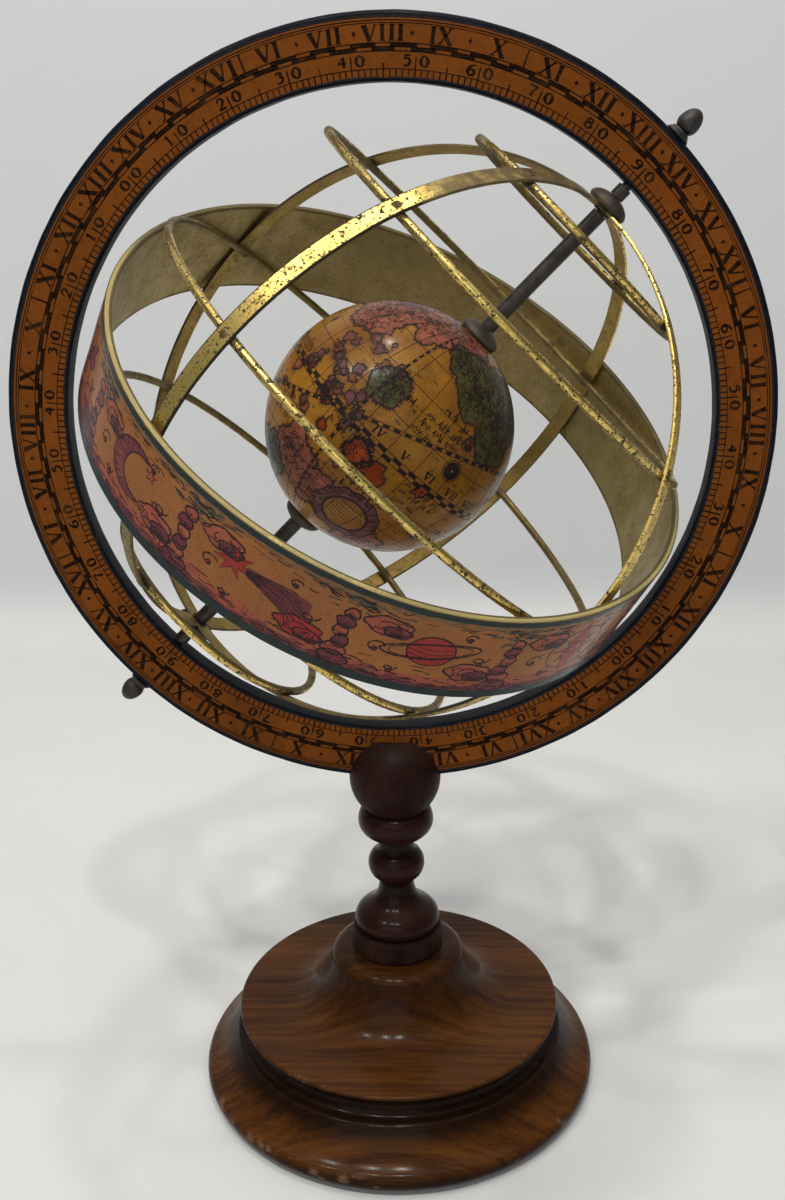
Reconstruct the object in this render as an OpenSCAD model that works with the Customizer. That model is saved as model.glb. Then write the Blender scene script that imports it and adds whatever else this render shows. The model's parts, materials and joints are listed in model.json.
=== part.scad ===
// Table armillary sphere: a globe inside a brass cage, on a tilted axis that is
// held by a wooden meridian ring on a turned stand. Millimetres, +Z up, with the
// origin at the centre of the underside. The meridian ring stands in the XZ plane.

/* [Base] */
// Radius of the lower base at its round nosing
lower_r = 70.3; // [66:0.5:76]
// Height of the lower base above the felt
lower_h = 17.2; // [15:0.2:20]
// Radius of the nosing round the lower base
nose_r = 3.6; // [2.6:0.2:4.4]
// Thickness of the felt under the base
felt_t = 1.2; // [0.8:0.2:2]
// Width of the bare wood left round the felt
felt_margin = 5; // [3:0.5:8]
// Radius of the upper base at its thin rim
upper_r = 57.4; // [54:0.2:60]
// Height of the upper base from its seat to the flat top of its disc
disc_h = 9.9; // [8.6:0.1:12]
// Depth of the cove that is turned under the rim
cove_depth = 3.2; // [2:0.1:4]
// Radius of the bell at its shoulder
bell_r = 23.6; // [21:0.2:26]
// Height of the bell above the disc
bell_h = 21.1; // [18:0.1:26]

/* [Column] */
// Radius of the loose collar between the bell and the column
collar_r = 15.9; // [14:0.1:18]
// Height of that collar
collar_h = 7.9; // [6:0.1:10]
// Radius of the column's vase-shaped foot
foot_r = 15; // [13:0.1:17]
// Height of the foot up to the lower neck
foot_h = 17; // [15:0.1:20]
// Radius of the two necks
neck_r = 6.15; // [5.6:0.05:7]
// Radius of the bead between the necks
bead_r = 9.9; // [9:0.1:12]
// Height of the bead
bead_h = 11.6; // [10:0.1:14]
// Length of the upper neck
neck_h = 4; // [3:0.1:6]
// Radius of the cup under the ball
cup_r = 13.1; // [12:0.1:14.5]
// Height of the cup
cup_h = 12; // [11:0.1:13]
// Radius of the ball that holds the meridian ring
ball_r = 15.7; // [15:0.1:17]
// Height of the ball's flat top over its centre
ball_top = 14; // [13:0.1:14.6]
// Depth of the ball's flat bottom under its centre
ball_bottom = 13.8; // [13.2:0.1:14.4]

/* [Joinery] */
// Radius of the tenon under the column
tenon_r = 5; // [4.4:0.1:5.4]
// Depth of the tenon in the upper base
tenon_in = 12; // [8:0.5:16]
// Radius of the dowel under the ball
dowel_r = 4; // [3:0.1:4.6]
// Length of the dowel under the ball
dowel_l = 9; // [6:0.5:9.5]
// Clearance round tenons, dowels and the ring in its slot
wood_fit = 0.1; // [0.05:0.05:0.2]
// Radius of the screw's shank under the base
screw_r = 2.2; // [1.8:0.1:2.6]
// Radius of the screw's head
screw_head_r = 4.4; // [4:0.1:5]
// Height of the screw's head
screw_head_h = 2.6; // [2:0.1:3]
// Depth that the screw reaches into the column
screw_bite = 16; // [10:1:22]
// Radius of the washer under the screw's head
washer_r = 7.5; // [6.5:0.1:8.5]
// Thickness of the washer under the screw's head
washer_t = 1.4; // [1:0.1:2]
// Depth of the recess for head and washer in the underside
recess_h = 6; // [5.5:0.1:8]

/* [Meridian ring] */
// Outer radius of the meridian ring
ring_r = 120; // [118:0.5:124]
// Radial width of the meridian ring
ring_w = 19; // [16:0.5:20]
// Thickness of the meridian ring without its paper scales
ring_t = 7.5; // [6.5:0.1:8.5]
// Radius of the ring's outer edges
ring_round = 1.6; // [1:0.1:2.4]
// Thickness of the paper scales
paper_t = 0.25; // [0.15:0.05:0.4]
// Width of the black edge left inside the paper scales
inner_edge = 0.8; // [0.5:0.1:1.5]
// Height of the ring's lowest point over the ball's centre
ring_lift = 0.6; // [0:0.1:3]

/* [Polar axis] */
// Height of the polar axis over the horizontal, in degrees
pole_angle = 45; // [40:1:55]
// Radius of the steel rod through the globe
rod_r = 1.5; // [1.2:0.1:1.8]
// Clearance of the rod in the ring and the globe
rod_fit = 0.1; // [0.05:0.01:0.2]
// Running clearance of the hubs on the rod
hub_fit = 0.05; // [0.03:0.01:0.1]
// Gap between a part that turns and the part beside it
run_gap = 0.3; // [0.2:0.05:0.5]
// Radius of the sleeves between cage and globe
sleeve_r = 2.4; // [2:0.1:2.7]
// Radius of the spacers between cage and ring
spacer_r = 2.3; // [2:0.1:2.7]
// Length of the spacers between cage and ring, which sets the cage's radius
spacer_l = 3.6; // [2.4:0.1:6]
// Length of bare rod between a spacer and the ring
bare_rod = 1; // [0.6:0.1:1.6]
// Radius of the round hubs on cage and globe
hub_r = 6.8; // [6:0.1:8]
// Height of the hubs
hub_h = 4.3; // [3.6:0.1:5]
// Radius of the thin washers inside the cage
cage_washer_r = 2.9; // [2.7:0.1:3.6]
// Thickness of the thin washers inside the cage
cage_washer_t = 0.6; // [0.4:0.1:1]
// Radius of the finials' feet
finial_foot_r = 4; // [3.6:0.1:4.6]
// Radius of the acorn-shaped finials
finial_r = 3.4; // [3:0.1:3.8]
// Length of a finial
finial_h = 9.6; // [8:0.1:12]
// Depth that the rod is screwed into a finial
finial_bite = 5; // [3:0.5:6]

/* [Cage] */
// Thickness of the strip that the colures are bent from
strip_t = 1; // [0.8:0.1:1.4]
// Width of that strip
strip_w = 5.5; // [4.5:0.1:6.5]
// Clearance in the lap where the colures cross
lap_fit = 0.04; // [0.02:0.01:0.08]
// Radius of the wire that the five circles are bent from
wire_r = 1.3; // [1:0.1:1.5]
// Latitude of the two tropics, in degrees
tropic = 34.5; // [32:0.5:37]
// Latitude of the two polar circles, in degrees
polar_circle = 63; // [58:0.5:68]
// Turn of the cage about its axis at rest, in degrees
cage_turn = 234; // [200:1:270]
// Radius of the rivets' shanks
rivet_r = 0.6; // [0.4:0.05:0.8]
// Radius of the rivets' heads
rivet_head_r = 1.3; // [1.1:0.1:1.6]
// Height of the rivets' heads
rivet_head_h = 0.28; // [0.2:0.02:0.34]
// Clearance round the rivets' shanks
rivet_fit = 0.03; // [0.02:0.01:0.06]
// Depth left in a wire's hole beyond the rivet's end
rivet_gap = 0.1; // [0.05:0.05:0.2]

/* [Zodiac band] */
// Tilt of the band's plane to the equator, in degrees
band_tilt = 29.5; // [27:0.5:31]
// Width of the band
band_w = 33; // [28:0.5:36]
// Thickness of the brass band
band_t = 1.9; // [1.4:0.1:2.4]
// Gap between the colures and the band
band_gap = 0.1; // [0.05:0.05:0.2]
// Width of bare brass along each rim of the band
band_rim = 0.5; // [0.3:0.1:1]

/* [Globe] */
// Radius of the globe
globe_r = 39.1; // [37:0.1:42]

/* [Hidden] */
$fn = 144;
eps = 0.01;
arc_n = 12;                                      // steps along a turned curve

lower_z = felt_t;
upper_z = lower_z + lower_h;
disc_z = upper_z + disc_h;
bell_z = disc_z + bell_h;
foot_z = bell_z + collar_h;
bead_z = foot_z + foot_h + 2;
cup_z = bead_z + bead_h + neck_h;
ball_z = cup_z + cup_h + sqrt(ball_r * ball_r - pow(cup_r - 2.7, 2));
socket_z = ball_z - ball_bottom;
centre_z = ball_z + ring_lift + ring_r;

ring_in = ring_r - ring_w;
half_t = ring_t / 2 + paper_t;

spacer_out = ring_in - bare_rod;
spacer_in = spacer_out - spacer_l;
hub_seat = spacer_in - run_gap - hub_h;
cage_r = hub_seat;
strip_in = cage_r - strip_t;
strip_mid = cage_r - strip_t / 2;
wire_mid = strip_in - wire_r;
lats = [polar_circle, tropic, 0, -tropic, -polar_circle];
band_in = cage_r + band_gap;
band_out = band_in + band_t;

washer_out = sqrt(strip_in * strip_in - pow(strip_w / 2, 2));
globe_hub_seat = sqrt(globe_r * globe_r - pow(hub_r - 0.6, 2));
sleeve_in = globe_hub_seat + hub_h + run_gap;
sleeve_out = washer_out - cage_washer_t - run_gap;

wood_dark = [0.20, 0.10, 0.07];
wood_brown = [0.30, 0.17, 0.09];
brass = [0.83, 0.68, 0.30];
bronze = [0.24, 0.21, 0.18];
scale_paper = [0.68, 0.38, 0.15];

// Points along an elliptical arc from angle a to angle b.
function bow(r, z, rx, rz, a, b) =
    [for (i = [0:arc_n]) let (t = a + (b - a) * i / arc_n) [r + rx * cos(t), z + rz * sin(t)]];

// Points along a cubic curve that leaves p towards q and reaches s from r.
function sweep(p, q, r, s) = [for (i = [0:arc_n]) let (t = i / arc_n, u = 1 - t)
    u * u * u * p + 3 * u * u * t * q + 3 * u * t * t * r + t * t * t * s];

// A turned piece: the outline's points run up its outside, and its axis closes it.
module turned(outline) {
    first = outline[0];
    last = outline[len(outline) - 1];
    rotate_extrude() polygon(concat([[0, first[1]]], outline, [[0, last[1]]]));
}

// Stands its children at height z.
module up(z) { translate([0, 0, z]) children(); }

// The globe's frame: +Z along the polar axis, at the centre of the ring.
module polar() { up(centre_z) rotate([0, 90 - pole_angle, 0]) children(); }

// The cage's frame, turned about the polar axis so that +X leads to the solstice.
module cage() { polar() rotate([0, 0, cage_turn]) children(); }

// Points +Z outwards at a place on the cage's sphere.
module at(longitude, latitude) {
    rotate([0, 0, longitude]) rotate([0, 90 - latitude, 0]) children();
}

// Both ends of the axis.
module both_poles() {
    children();
    rotate([180, 0, 0]) children();
}

module base_felt() color([0.16, 0.30, 0.20])
    cylinder(r = lower_r - felt_margin, h = felt_t);

module lower_base() color(wood_brown) difference() {
    turned(concat(
        bow(lower_r - nose_r, lower_z + nose_r, nose_r, nose_r, -90, 68),
        sweep([lower_r - 2, lower_z + 2 * nose_r - 0.1], [lower_r - 6, upper_z - 8],
            [upper_r + 4.5, upper_z - 5], [upper_r + 1.2, upper_z - 0.6]),
        [[upper_r, upper_z]]));
    up(lower_z - 1) cylinder(r = washer_r + 0.5, h = recess_h + 1);
    up(lower_z) cylinder(r = screw_r + wood_fit, h = lower_h + 1);
}

module base_washer() color([0.6, 0.6, 0.58]) up(lower_z + recess_h - washer_t) difference() {
    cylinder(r = washer_r, h = washer_t);
    up(-1) cylinder(r = screw_r + wood_fit, h = washer_t + 2);
}

// Pan-headed screw that draws the stand together, with a crossed slot in its head.
module base_screw() color([0.55, 0.55, 0.53]) {
    seat = lower_z + recess_h - washer_t;
    tip = foot_z + screw_bite;
    difference() {
        union() {
            up(seat - screw_head_h) turned(concat(
                bow(screw_head_r - 1.2, 1.2, 1.2, 1.2, -90, 0),
                [[screw_head_r, screw_head_h], [screw_r, screw_head_h]]));
            up(seat) turned([[screw_r, -eps], [screw_r, tip - seat - 3],
                [0.4, tip - seat]]);
        }
        for (a = [0, 90]) rotate([0, 0, a])
            translate([-2.4, -0.5, seat - screw_head_h - 1]) cube([4.8, 1, 2.3]);
    }
}

module upper_base() color(wood_brown) difference() {
    rim = 1;
    cove = disc_h - 2 * rim - 0.2;
    shoulder = 3.9;
    turned(concat(
        bow(upper_r - 0.8, upper_z + cove / 2, cove_depth, cove / 2, 270, 90),
        bow(upper_r - rim, disc_z - rim, rim, rim, -60, 90),
        sweep([bell_r + 20, disc_z], [bell_r + 6.4, disc_z + 0.3],
            [bell_r + 2.4, disc_z + 10], [bell_r, bell_z - shoulder]),
        bow(bell_r - 5, bell_z - shoulder, 5, shoulder, 0, 90)));
    up(bell_z - tenon_in - wood_fit) cylinder(r = tenon_r + wood_fit, h = tenon_in + 1);
    up(upper_z - 1) cylinder(r = screw_r + wood_fit, h = disc_h + bell_h + 2);
}

module column_collar() color(wood_dark) difference() {
    soft = 1.1;
    turned(concat(
        bow(collar_r - soft, bell_z + soft, soft, soft, -90, 0),
        bow(collar_r - soft, foot_z - soft, soft, soft, 0, 90)));
    up(bell_z - 1) cylinder(r = tenon_r + wood_fit, h = collar_h + 2);
}

module column() color(wood_dark) difference() {
    union() {
        up(bell_z - tenon_in) cylinder(r = tenon_r, h = tenon_in + collar_h + 1);
        turned(concat(
            bow(foot_r - 3.4, foot_z + 3.4, 3.4, 3.4, -90, 20),
            sweep([foot_r - 0.3, foot_z + 4.8], [foot_r - 1.6, foot_z + 9.4],
                [neck_r + 0.4, foot_z + 8.6], [neck_r, foot_z + foot_h]),
            [[neck_r, bead_z - 0.6], [neck_r + 0.5, bead_z]],
            bow(bead_r / 2, bead_z + bead_h / 2, bead_r / 2, bead_h / 2, -68, 62),
            sweep([neck_r + 0.5, bead_z + bead_h], [neck_r, bead_z + bead_h + 1],
                [neck_r - 0.1, cup_z - 1], [neck_r + 0.2, cup_z]),
            bow(3.5, cup_z + 0.6 * cup_h, cup_r - 3.5, 0.6 * cup_h, -72, 0),
            bow(cup_r - 2.7, cup_z + 0.6 * cup_h, 2.7, 0.4 * cup_h, 6, 90)));
    }
    up(ball_z) sphere(r = ball_r + wood_fit / 2);
    up(socket_z) cylinder(r = ball_r * 0.55, h = ball_r);
    up(socket_z - dowel_l - wood_fit) cylinder(r = dowel_r + wood_fit, h = dowel_l + 1);
    up(bell_z - tenon_in - 1)
        cylinder(r = screw_r, h = tenon_in + collar_h + screw_bite + 1 + wood_fit);
}

// Ball on a dowel, sawn open from the top for the meridian ring.
module ring_socket() color(wood_dark) difference() {
    union() {
        intersection() {
            up(ball_z) sphere(r = ball_r);
            up(socket_z) cylinder(r = ball_r + 1, h = ball_bottom + ball_top);
        }
        up(socket_z - dowel_l) cylinder(r = dowel_r, h = dowel_l + 1);
    }
    up(centre_z) rotate([90, 0, 0])
        cylinder(r = ring_r, h = 2 * (half_t + wood_fit), center = true);
}

// Wooden ring with round outer edges, drilled for the rod at both poles.
module meridian_ring() color([0.07, 0.07, 0.08]) difference() {
    soft = 0.5;
    up(centre_z) rotate([90, 0, 0]) rotate_extrude() polygon(concat(
        bow(ring_r - ring_round, -ring_t / 2 + ring_round, ring_round, ring_round, -90, 0),
        bow(ring_r - ring_round, ring_t / 2 - ring_round, ring_round, ring_round, 0, 90),
        bow(ring_in + soft, ring_t / 2 - soft, soft, soft, 90, 180),
        bow(ring_in + soft, -ring_t / 2 + soft, soft, soft, 180, 270)));
    polar() cylinder(r = rod_r + rod_fit, h = 2 * ring_r + 2, center = true);
}

// Paper ring on one face of the meridian ring.
module scale_ring(side) color(scale_paper) up(centre_z) rotate([90 * side, 0, 0])
    up(ring_t / 2) difference() {
        cylinder(r = ring_r - ring_round, h = paper_t);
        up(-1) cylinder(r = ring_in + inner_edge, h = paper_t + 2);
    }

module axis_rod() color(bronze) polar()
    cylinder(r = rod_r, h = 2 * (ring_r + finial_bite), center = true);

module finial() difference() {
    belly = 4.6;
    turned(concat(
        bow(finial_foot_r - 0.4, 0.4, 0.4, 0.4, -90, 60),
        sweep([finial_foot_r - 0.3, 0.8], [finial_foot_r - 0.5, 1.5],
            [finial_r - 0.4, 1.2], [finial_r - 0.45, 2]),
        bow(finial_r - 3, belly, 3, belly - 1.6, -60, 0),
        bow(0, belly, finial_r, finial_h - belly, 5, 90)));
    up(-1) cylinder(r = rod_r + rod_fit, h = finial_bite + 1 + wood_fit);
}

module axis_finials() color(bronze) polar() both_poles() up(ring_r) finial();

module axis_spacers() color(bronze) polar() both_poles() up(spacer_in) difference() {
    cylinder(r = spacer_r, h = spacer_l);
    up(-1) cylinder(r = rod_r + hub_fit, h = spacer_l + 2);
}

module axis_sleeves() color(bronze) polar() both_poles() up(sleeve_in) difference() {
    cylinder(r = sleeve_r, h = sleeve_out - sleeve_in);
    up(-1) cylinder(r = rod_r + hub_fit, h = sleeve_out - sleeve_in + 2);
}

// Mushroom-shaped hub that runs on the rod.
module hub() difference() {
    lip = 0.9;
    top_r = sleeve_r + 0.3;
    start = acos(top_r / hub_r);
    dome = (hub_h - lip) / sin(start);
    turned(concat([[hub_r - 0.6, 0]], bow(0, lip, hub_r, dome, 0, start)));
    up(-1) cylinder(r = rod_r + hub_fit, h = hub_h + 2);
}

// Shank holes for the rivets of one colure, through strip and wire.
module colure_holes(longitudes) {
    for (a = longitudes, lat = lats) at(a, lat)
        up(strip_in - 1) cylinder(r = rivet_r + rivet_fit, h = strip_t + 2);
}

module strip_hoop() rotate_extrude() translate([strip_in, -strip_w / 2])
    square([strip_t, strip_w]);

// The colure through the solstices, which keeps the outer half of the lap.
module solstitial_colure() color(brass) cage() difference() {
    rotate([90, 0, 0]) strip_hoop();
    both_poles() up(strip_in - 1)
        translate([-strip_w / 2 - lap_fit, -strip_w / 2 - 1, 0])
            cube([strip_w + 2 * lap_fit, strip_w + 2, strip_t / 2 + 1 + lap_fit / 2]);
    cylinder(r = rod_r + hub_fit, h = 2 * cage_r + 2, center = true);
    colure_holes([0, 180]);
    for (side = [0, 1]) at(180 * side, band_tilt * (2 * side - 1))
        up(strip_in - 1) cylinder(r = rivet_r + rivet_fit, h = strip_t + 2);
}

// The colure through the equinoxes, which keeps the inner half of the lap.
module equinoctial_colure() color(brass) cage() difference() {
    rotate([0, 90, 0]) strip_hoop();
    both_poles() up(strip_mid - lap_fit / 2)
        translate([-strip_w / 2 - 1, -strip_w / 2 - lap_fit, 0])
            cube([strip_w + 2, strip_w + 2 * lap_fit, strip_t]);
    cylinder(r = rod_r + hub_fit, h = 2 * cage_r + 2, center = true);
    colure_holes([90, 270]);
}

// One circle of latitude: a wire hoop inside the colures, drilled for its rivets.
module wire_circle(lat) color(brass) cage() difference() {
    up(wire_mid * sin(lat)) rotate_extrude() translate([wire_mid * cos(lat), 0])
        circle(r = wire_r, $fn = 48);
    for (a = [0:90:270]) at(a, lat)
        up(wire_mid) cylinder(r = rivet_r + rivet_fit, h = wire_r + 1);
    if (lat == 0) for (a = [90, 270]) at(a, 0)
        up(wire_mid - wire_r - 1) cylinder(r = rivet_r + rivet_fit, h = wire_r + 2);
}

module arctic_circle() wire_circle(polar_circle);
module cancer_tropic() wire_circle(tropic);
module equator_ring() wire_circle(0);
module capricorn_tropic() wire_circle(-tropic);
module antarctic_circle() wire_circle(-polar_circle);

// A rivet with its head's seat at z = 0, its shank pointing down.
module rivet(shank) turned([[rivet_r, -shank], [rivet_r, 0], [rivet_head_r, 0],
    [rivet_head_r - 0.06, 0.45 * rivet_head_h], [0.6 * rivet_head_r, 0.9 * rivet_head_h],
    [0.2 * rivet_head_r, rivet_head_h]]);

// Rivets from outside, at every crossing but the two that lie under the band's middle.
module cage_rivets() color([0.45, 0.36, 0.18]) cage()
    for (a = [0:90:270], lat = lats) if (lat != 0 || a % 180 == 0) at(a, lat)
        up(cage_r) rivet(strip_t + wire_r - rivet_gap);

// Rivets from inside, which hold the band to the colures.
module band_rivets() color([0.45, 0.36, 0.18]) cage() {
    for (a = [90, 270]) at(a, 0) up(wire_mid - wire_r)
        rotate([180, 0, 0]) rivet(band_out - wire_mid + wire_r);
    for (side = [0, 1]) at(180 * side, band_tilt * (2 * side - 1)) up(washer_out)
        rotate([180, 0, 0]) rivet(band_out - washer_out);
}

module cage_hubs() color(bronze) cage() both_poles() up(hub_seat) hub();

module cage_washers() color(bronze) cage() both_poles()
    up(washer_out - cage_washer_t) difference() {
        cylinder(r = cage_washer_r, h = cage_washer_t);
        up(-1) cylinder(r = rod_r + hub_fit, h = cage_washer_t + 2);
    }

module band_shape(r1, r2, w) rotate([0, band_tilt, 0]) rotate_extrude()
    translate([r1, -w / 2]) square([r2 - r1, w]);

module zodiac_band() color(brass) cage() difference() {
    band_shape(band_in, band_out, band_w);
    for (a = [90, 270]) at(a, 0)
        up(band_in - 1) cylinder(r = rivet_r + rivet_fit, h = band_t + 2);
    for (side = [0, 1]) at(180 * side, band_tilt * (2 * side - 1))
        up(band_in - 1) cylinder(r = rivet_r + rivet_fit, h = band_t + 2);
}

module zodiac_print() color(scale_paper) cage()
    band_shape(band_out, band_out + paper_t, band_w - 2 * band_rim);

module globe() color([0.78, 0.52, 0.18]) polar() difference() {
    sphere(r = globe_r);
    cylinder(r = rod_r + rod_fit, h = 2 * globe_r + 2, center = true);
}

// The globe's hubs, dished to sit on it.
module globe_hubs() color(bronze) polar() difference() {
    both_poles() up(globe_hub_seat) hub();
    sphere(r = globe_r + eps);
}

base_felt();
lower_base();
base_washer();
base_screw();
upper_base();
column_collar();
column();
ring_socket();
meridian_ring();
scale_ring(1);  // front_scale
scale_ring(-1);  // back_scale
axis_rod();
axis_finials();
axis_spacers();
axis_sleeves();
solstitial_colure();
equinoctial_colure();
arctic_circle();
cancer_tropic();
equator_ring();
capricorn_tropic();
antarctic_circle();
cage_rivets();
cage_hubs();
cage_washers();
zodiac_band();
band_rivets();
zodiac_print();
globe();
globe_hubs();
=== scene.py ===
import json
import math
import random

import bmesh
import bpy
from mathutils import Matrix, Vector, noise


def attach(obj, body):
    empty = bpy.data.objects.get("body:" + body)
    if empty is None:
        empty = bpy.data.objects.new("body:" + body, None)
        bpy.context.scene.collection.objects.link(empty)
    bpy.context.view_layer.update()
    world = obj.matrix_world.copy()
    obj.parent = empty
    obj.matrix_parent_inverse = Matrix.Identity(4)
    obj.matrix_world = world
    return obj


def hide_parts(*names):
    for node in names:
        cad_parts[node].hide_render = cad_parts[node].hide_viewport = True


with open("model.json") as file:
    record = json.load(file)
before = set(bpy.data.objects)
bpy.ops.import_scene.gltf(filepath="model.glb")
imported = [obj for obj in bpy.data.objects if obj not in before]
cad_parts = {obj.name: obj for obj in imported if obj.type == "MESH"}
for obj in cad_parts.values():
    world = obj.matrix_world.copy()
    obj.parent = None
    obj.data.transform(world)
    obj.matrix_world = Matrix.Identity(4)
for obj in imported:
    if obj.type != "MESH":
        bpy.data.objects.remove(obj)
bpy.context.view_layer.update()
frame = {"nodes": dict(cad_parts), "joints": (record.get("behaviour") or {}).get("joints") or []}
nodes = frame["nodes"]
mm = 0.001

# The sphere's own frames, from the joints that the frame carries.
centre = Vector(frame["joints"][0]["pos_m"])
polarFrame = Matrix.Translation(centre) @ Matrix.Rotation(math.radians(45), 4, "Y")
cageFrame = polarFrame @ Matrix.Rotation(math.radians(234), 4, "Z")
bandFrame = cageFrame @ Matrix.Rotation(math.radians(29.5), 4, "Y")
ringFrame = Matrix.Translation(centre) @ Matrix.Rotation(math.radians(90), 4, "X")
backFrame = ringFrame @ Matrix.Rotation(math.pi, 4, Vector((1, 1, 0)).normalized())
print("frame loaded:", len(nodes), "solids round", [round(v, 4) for v in centre])


# Meshes: lathes, hoops and thin printed shapes.

def clamp(value):
    return max(0, min(1, value))


def onHoop(radius, a, z=0):
    return Vector((radius * math.cos(a), radius * math.sin(a), z))


def waver(a, pace, level=0, shift=0):
    # noise round a hoop: pace sets how quickly it changes, level picks another run of it
    return noise.noise(Vector((math.cos(a) * pace + shift, math.sin(a) * pace, level)))


def angles(steps):
    return [2 * math.pi * i / steps for i in range(steps)]


def tubeFaces(rows, sides, loop=True, start=0):
    # faces of a tube whose points follow row by row, capped where it isn't a loop
    faces = []
    for i in range(rows if loop else rows - 1):
        a, b = start + sides * i, start + sides * ((i + 1) % rows)
        for k in range(sides):
            m = (k + 1) % sides
            faces.append((a + k, b + k, b + m, a + m))
    if not loop:
        last = start + sides * (rows - 1)
        faces.append(tuple(range(start, start + sides)))
        faces.append(tuple(range(last + sides - 1, last - 1, -1)))
    return faces


def beside(points, i, loop):
    # the points before and after one of a line
    n = len(points)
    return (points[i - 1] if loop or i else points[i],
            points[(i + 1) % n] if loop or i < n - 1 else points[i])


def bow(r, z, rx, rz, a, b, n):
    # points along an elliptical arc, in degrees
    steps = [math.radians(a + (b - a) * i / n) for i in range(n + 1)]
    return [(r + rx * math.cos(t), z + rz * math.sin(t)) for t in steps]


def sweep(p, q, r, s, n):
    # points along a cubic curve
    out = []
    for i in range(n + 1):
        t, u = i / n, 1 - i / n
        k = (u * u * u, 3 * u * u * t, 3 * u * t * t, t * t * t)
        out.append(tuple(sum(f * v[c] for f, v in zip(k, (p, q, r, s))) for c in (0, 1)))
    return out


def cleanOutline(outline):
    out = [outline[0]]
    for p in outline[1:]:
        if math.dist(p, out[-1]) > 0.02:
            out.append(p)
    return out


def sharpness(outline, closed):
    # how convex the outline is at each point, 0 flat to 1 a sharp arris
    n = len(outline)
    out = []
    for i in range(n):
        a, b, c = outline[i - 1], outline[i], outline[(i + 1) % n]
        if not closed and i in (0, n - 1):
            out.append(0)
            continue
        u, v = Vector((b[0] - a[0], b[1] - a[1])), Vector((c[0] - b[0], c[1] - b[1]))
        turn = math.atan2(u.x * v.y - u.y * v.x, u.dot(v))
        out.append(clamp(turn / max(0.2, (u.length + v.length) / 2) * 1.2))
    return [max(out[i - 1], out[i], out[(i + 1) % n] if closed or i < n - 1 else 0)
            for i in range(n)]


def revolve(outline, steps, closed=False, shape=None):
    # Turns an outline in millimetres about z, and gives points, faces and wear.
    wearAlong = sharpness(outline, closed)
    points, wear, rows = [], [], []
    for i, (r, z) in enumerate(outline):
        if r < 1e-6:
            rows.append([len(points)] * steps)
            points.append(Vector((0, 0, z * mm)))
            wear.append(0)
            continue
        rows.append(list(range(len(points), len(points) + steps)))
        for a in angles(steps):
            rr, zz = shape(a, r, z) if shape else (r, z)
            points.append(onHoop(rr, a, zz) * mm)
            wear.append(wearAlong[i])
    faces = []
    pairs = len(rows) if closed else len(rows) - 1
    for i in range(pairs):
        low, high = rows[i], rows[(i + 1) % len(rows)]
        for k in range(steps):
            j = (k + 1) % steps
            ring = [low[k], low[j], high[j], high[k]]
            face = [v for n, v in enumerate(ring) if v != ring[n - 1]]
            if len(face) > 2:
                faces.append(face)
    return points, faces, wear


def makePiece(name, points, faces, finish, body, place=None, replaced=(),
              wear=None, split=40, marks=None):
    # the mesh lies in the row's frame; "lay" keeps each point in the piece's own frame
    mesh = bpy.data.meshes.new(name)
    placed = [place @ Vector(p) for p in points] if place is not None else points
    mesh.from_pydata([tuple(p) for p in placed], [], faces)
    mesh.attributes.new("lay", "FLOAT_VECTOR", "POINT").data.foreach_set(
        "vector", [v for p in points for v in p])
    work = bmesh.new()
    work.from_mesh(mesh)
    bmesh.ops.recalc_face_normals(work, faces=work.faces)
    work.to_mesh(mesh)
    work.free()
    mesh.polygons.foreach_set("use_smooth", [True] * len(mesh.polygons))
    mesh.set_sharp_from_angle(angle=math.radians(split))
    for key, values in {"wear": wear, **(marks or {})}.items():
        if values is not None:
            mesh.attributes.new(key, "FLOAT", "POINT").data.foreach_set("value", values)
    mesh.materials.append(finish)
    piece = bpy.data.objects.new(name, mesh)
    bpy.context.scene.collection.objects.link(piece)
    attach(piece, body)
    if replaced:
        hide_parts(*replaced)


def throughCurve(points, loop):
    # a smooth line through control points of any length
    n, per = len(points), 5
    if n < 3:
        return [tuple(p) for p in points]
    out = []
    for i in range(n if loop else n - 1):
        if loop:
            a, b, c, d = (points[(i + k) % n] for k in (-1, 0, 1, 2))
        else:
            a, b, c, d = (points[min(n - 1, max(0, i + k))] for k in (-1, 0, 1, 2))
        for s in range(per):
            t = s / per
            out.append(tuple(
                0.5 * (2 * q + (r - p) * t + (2 * p - 5 * q + 4 * r - v) * t * t
                       + (3 * q - p - 3 * r + v) * t ** 3)
                for p, q, r, v in zip(a, b, c, d)))
    if not loop:
        out.append(tuple(points[-1]))
    return out


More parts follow.
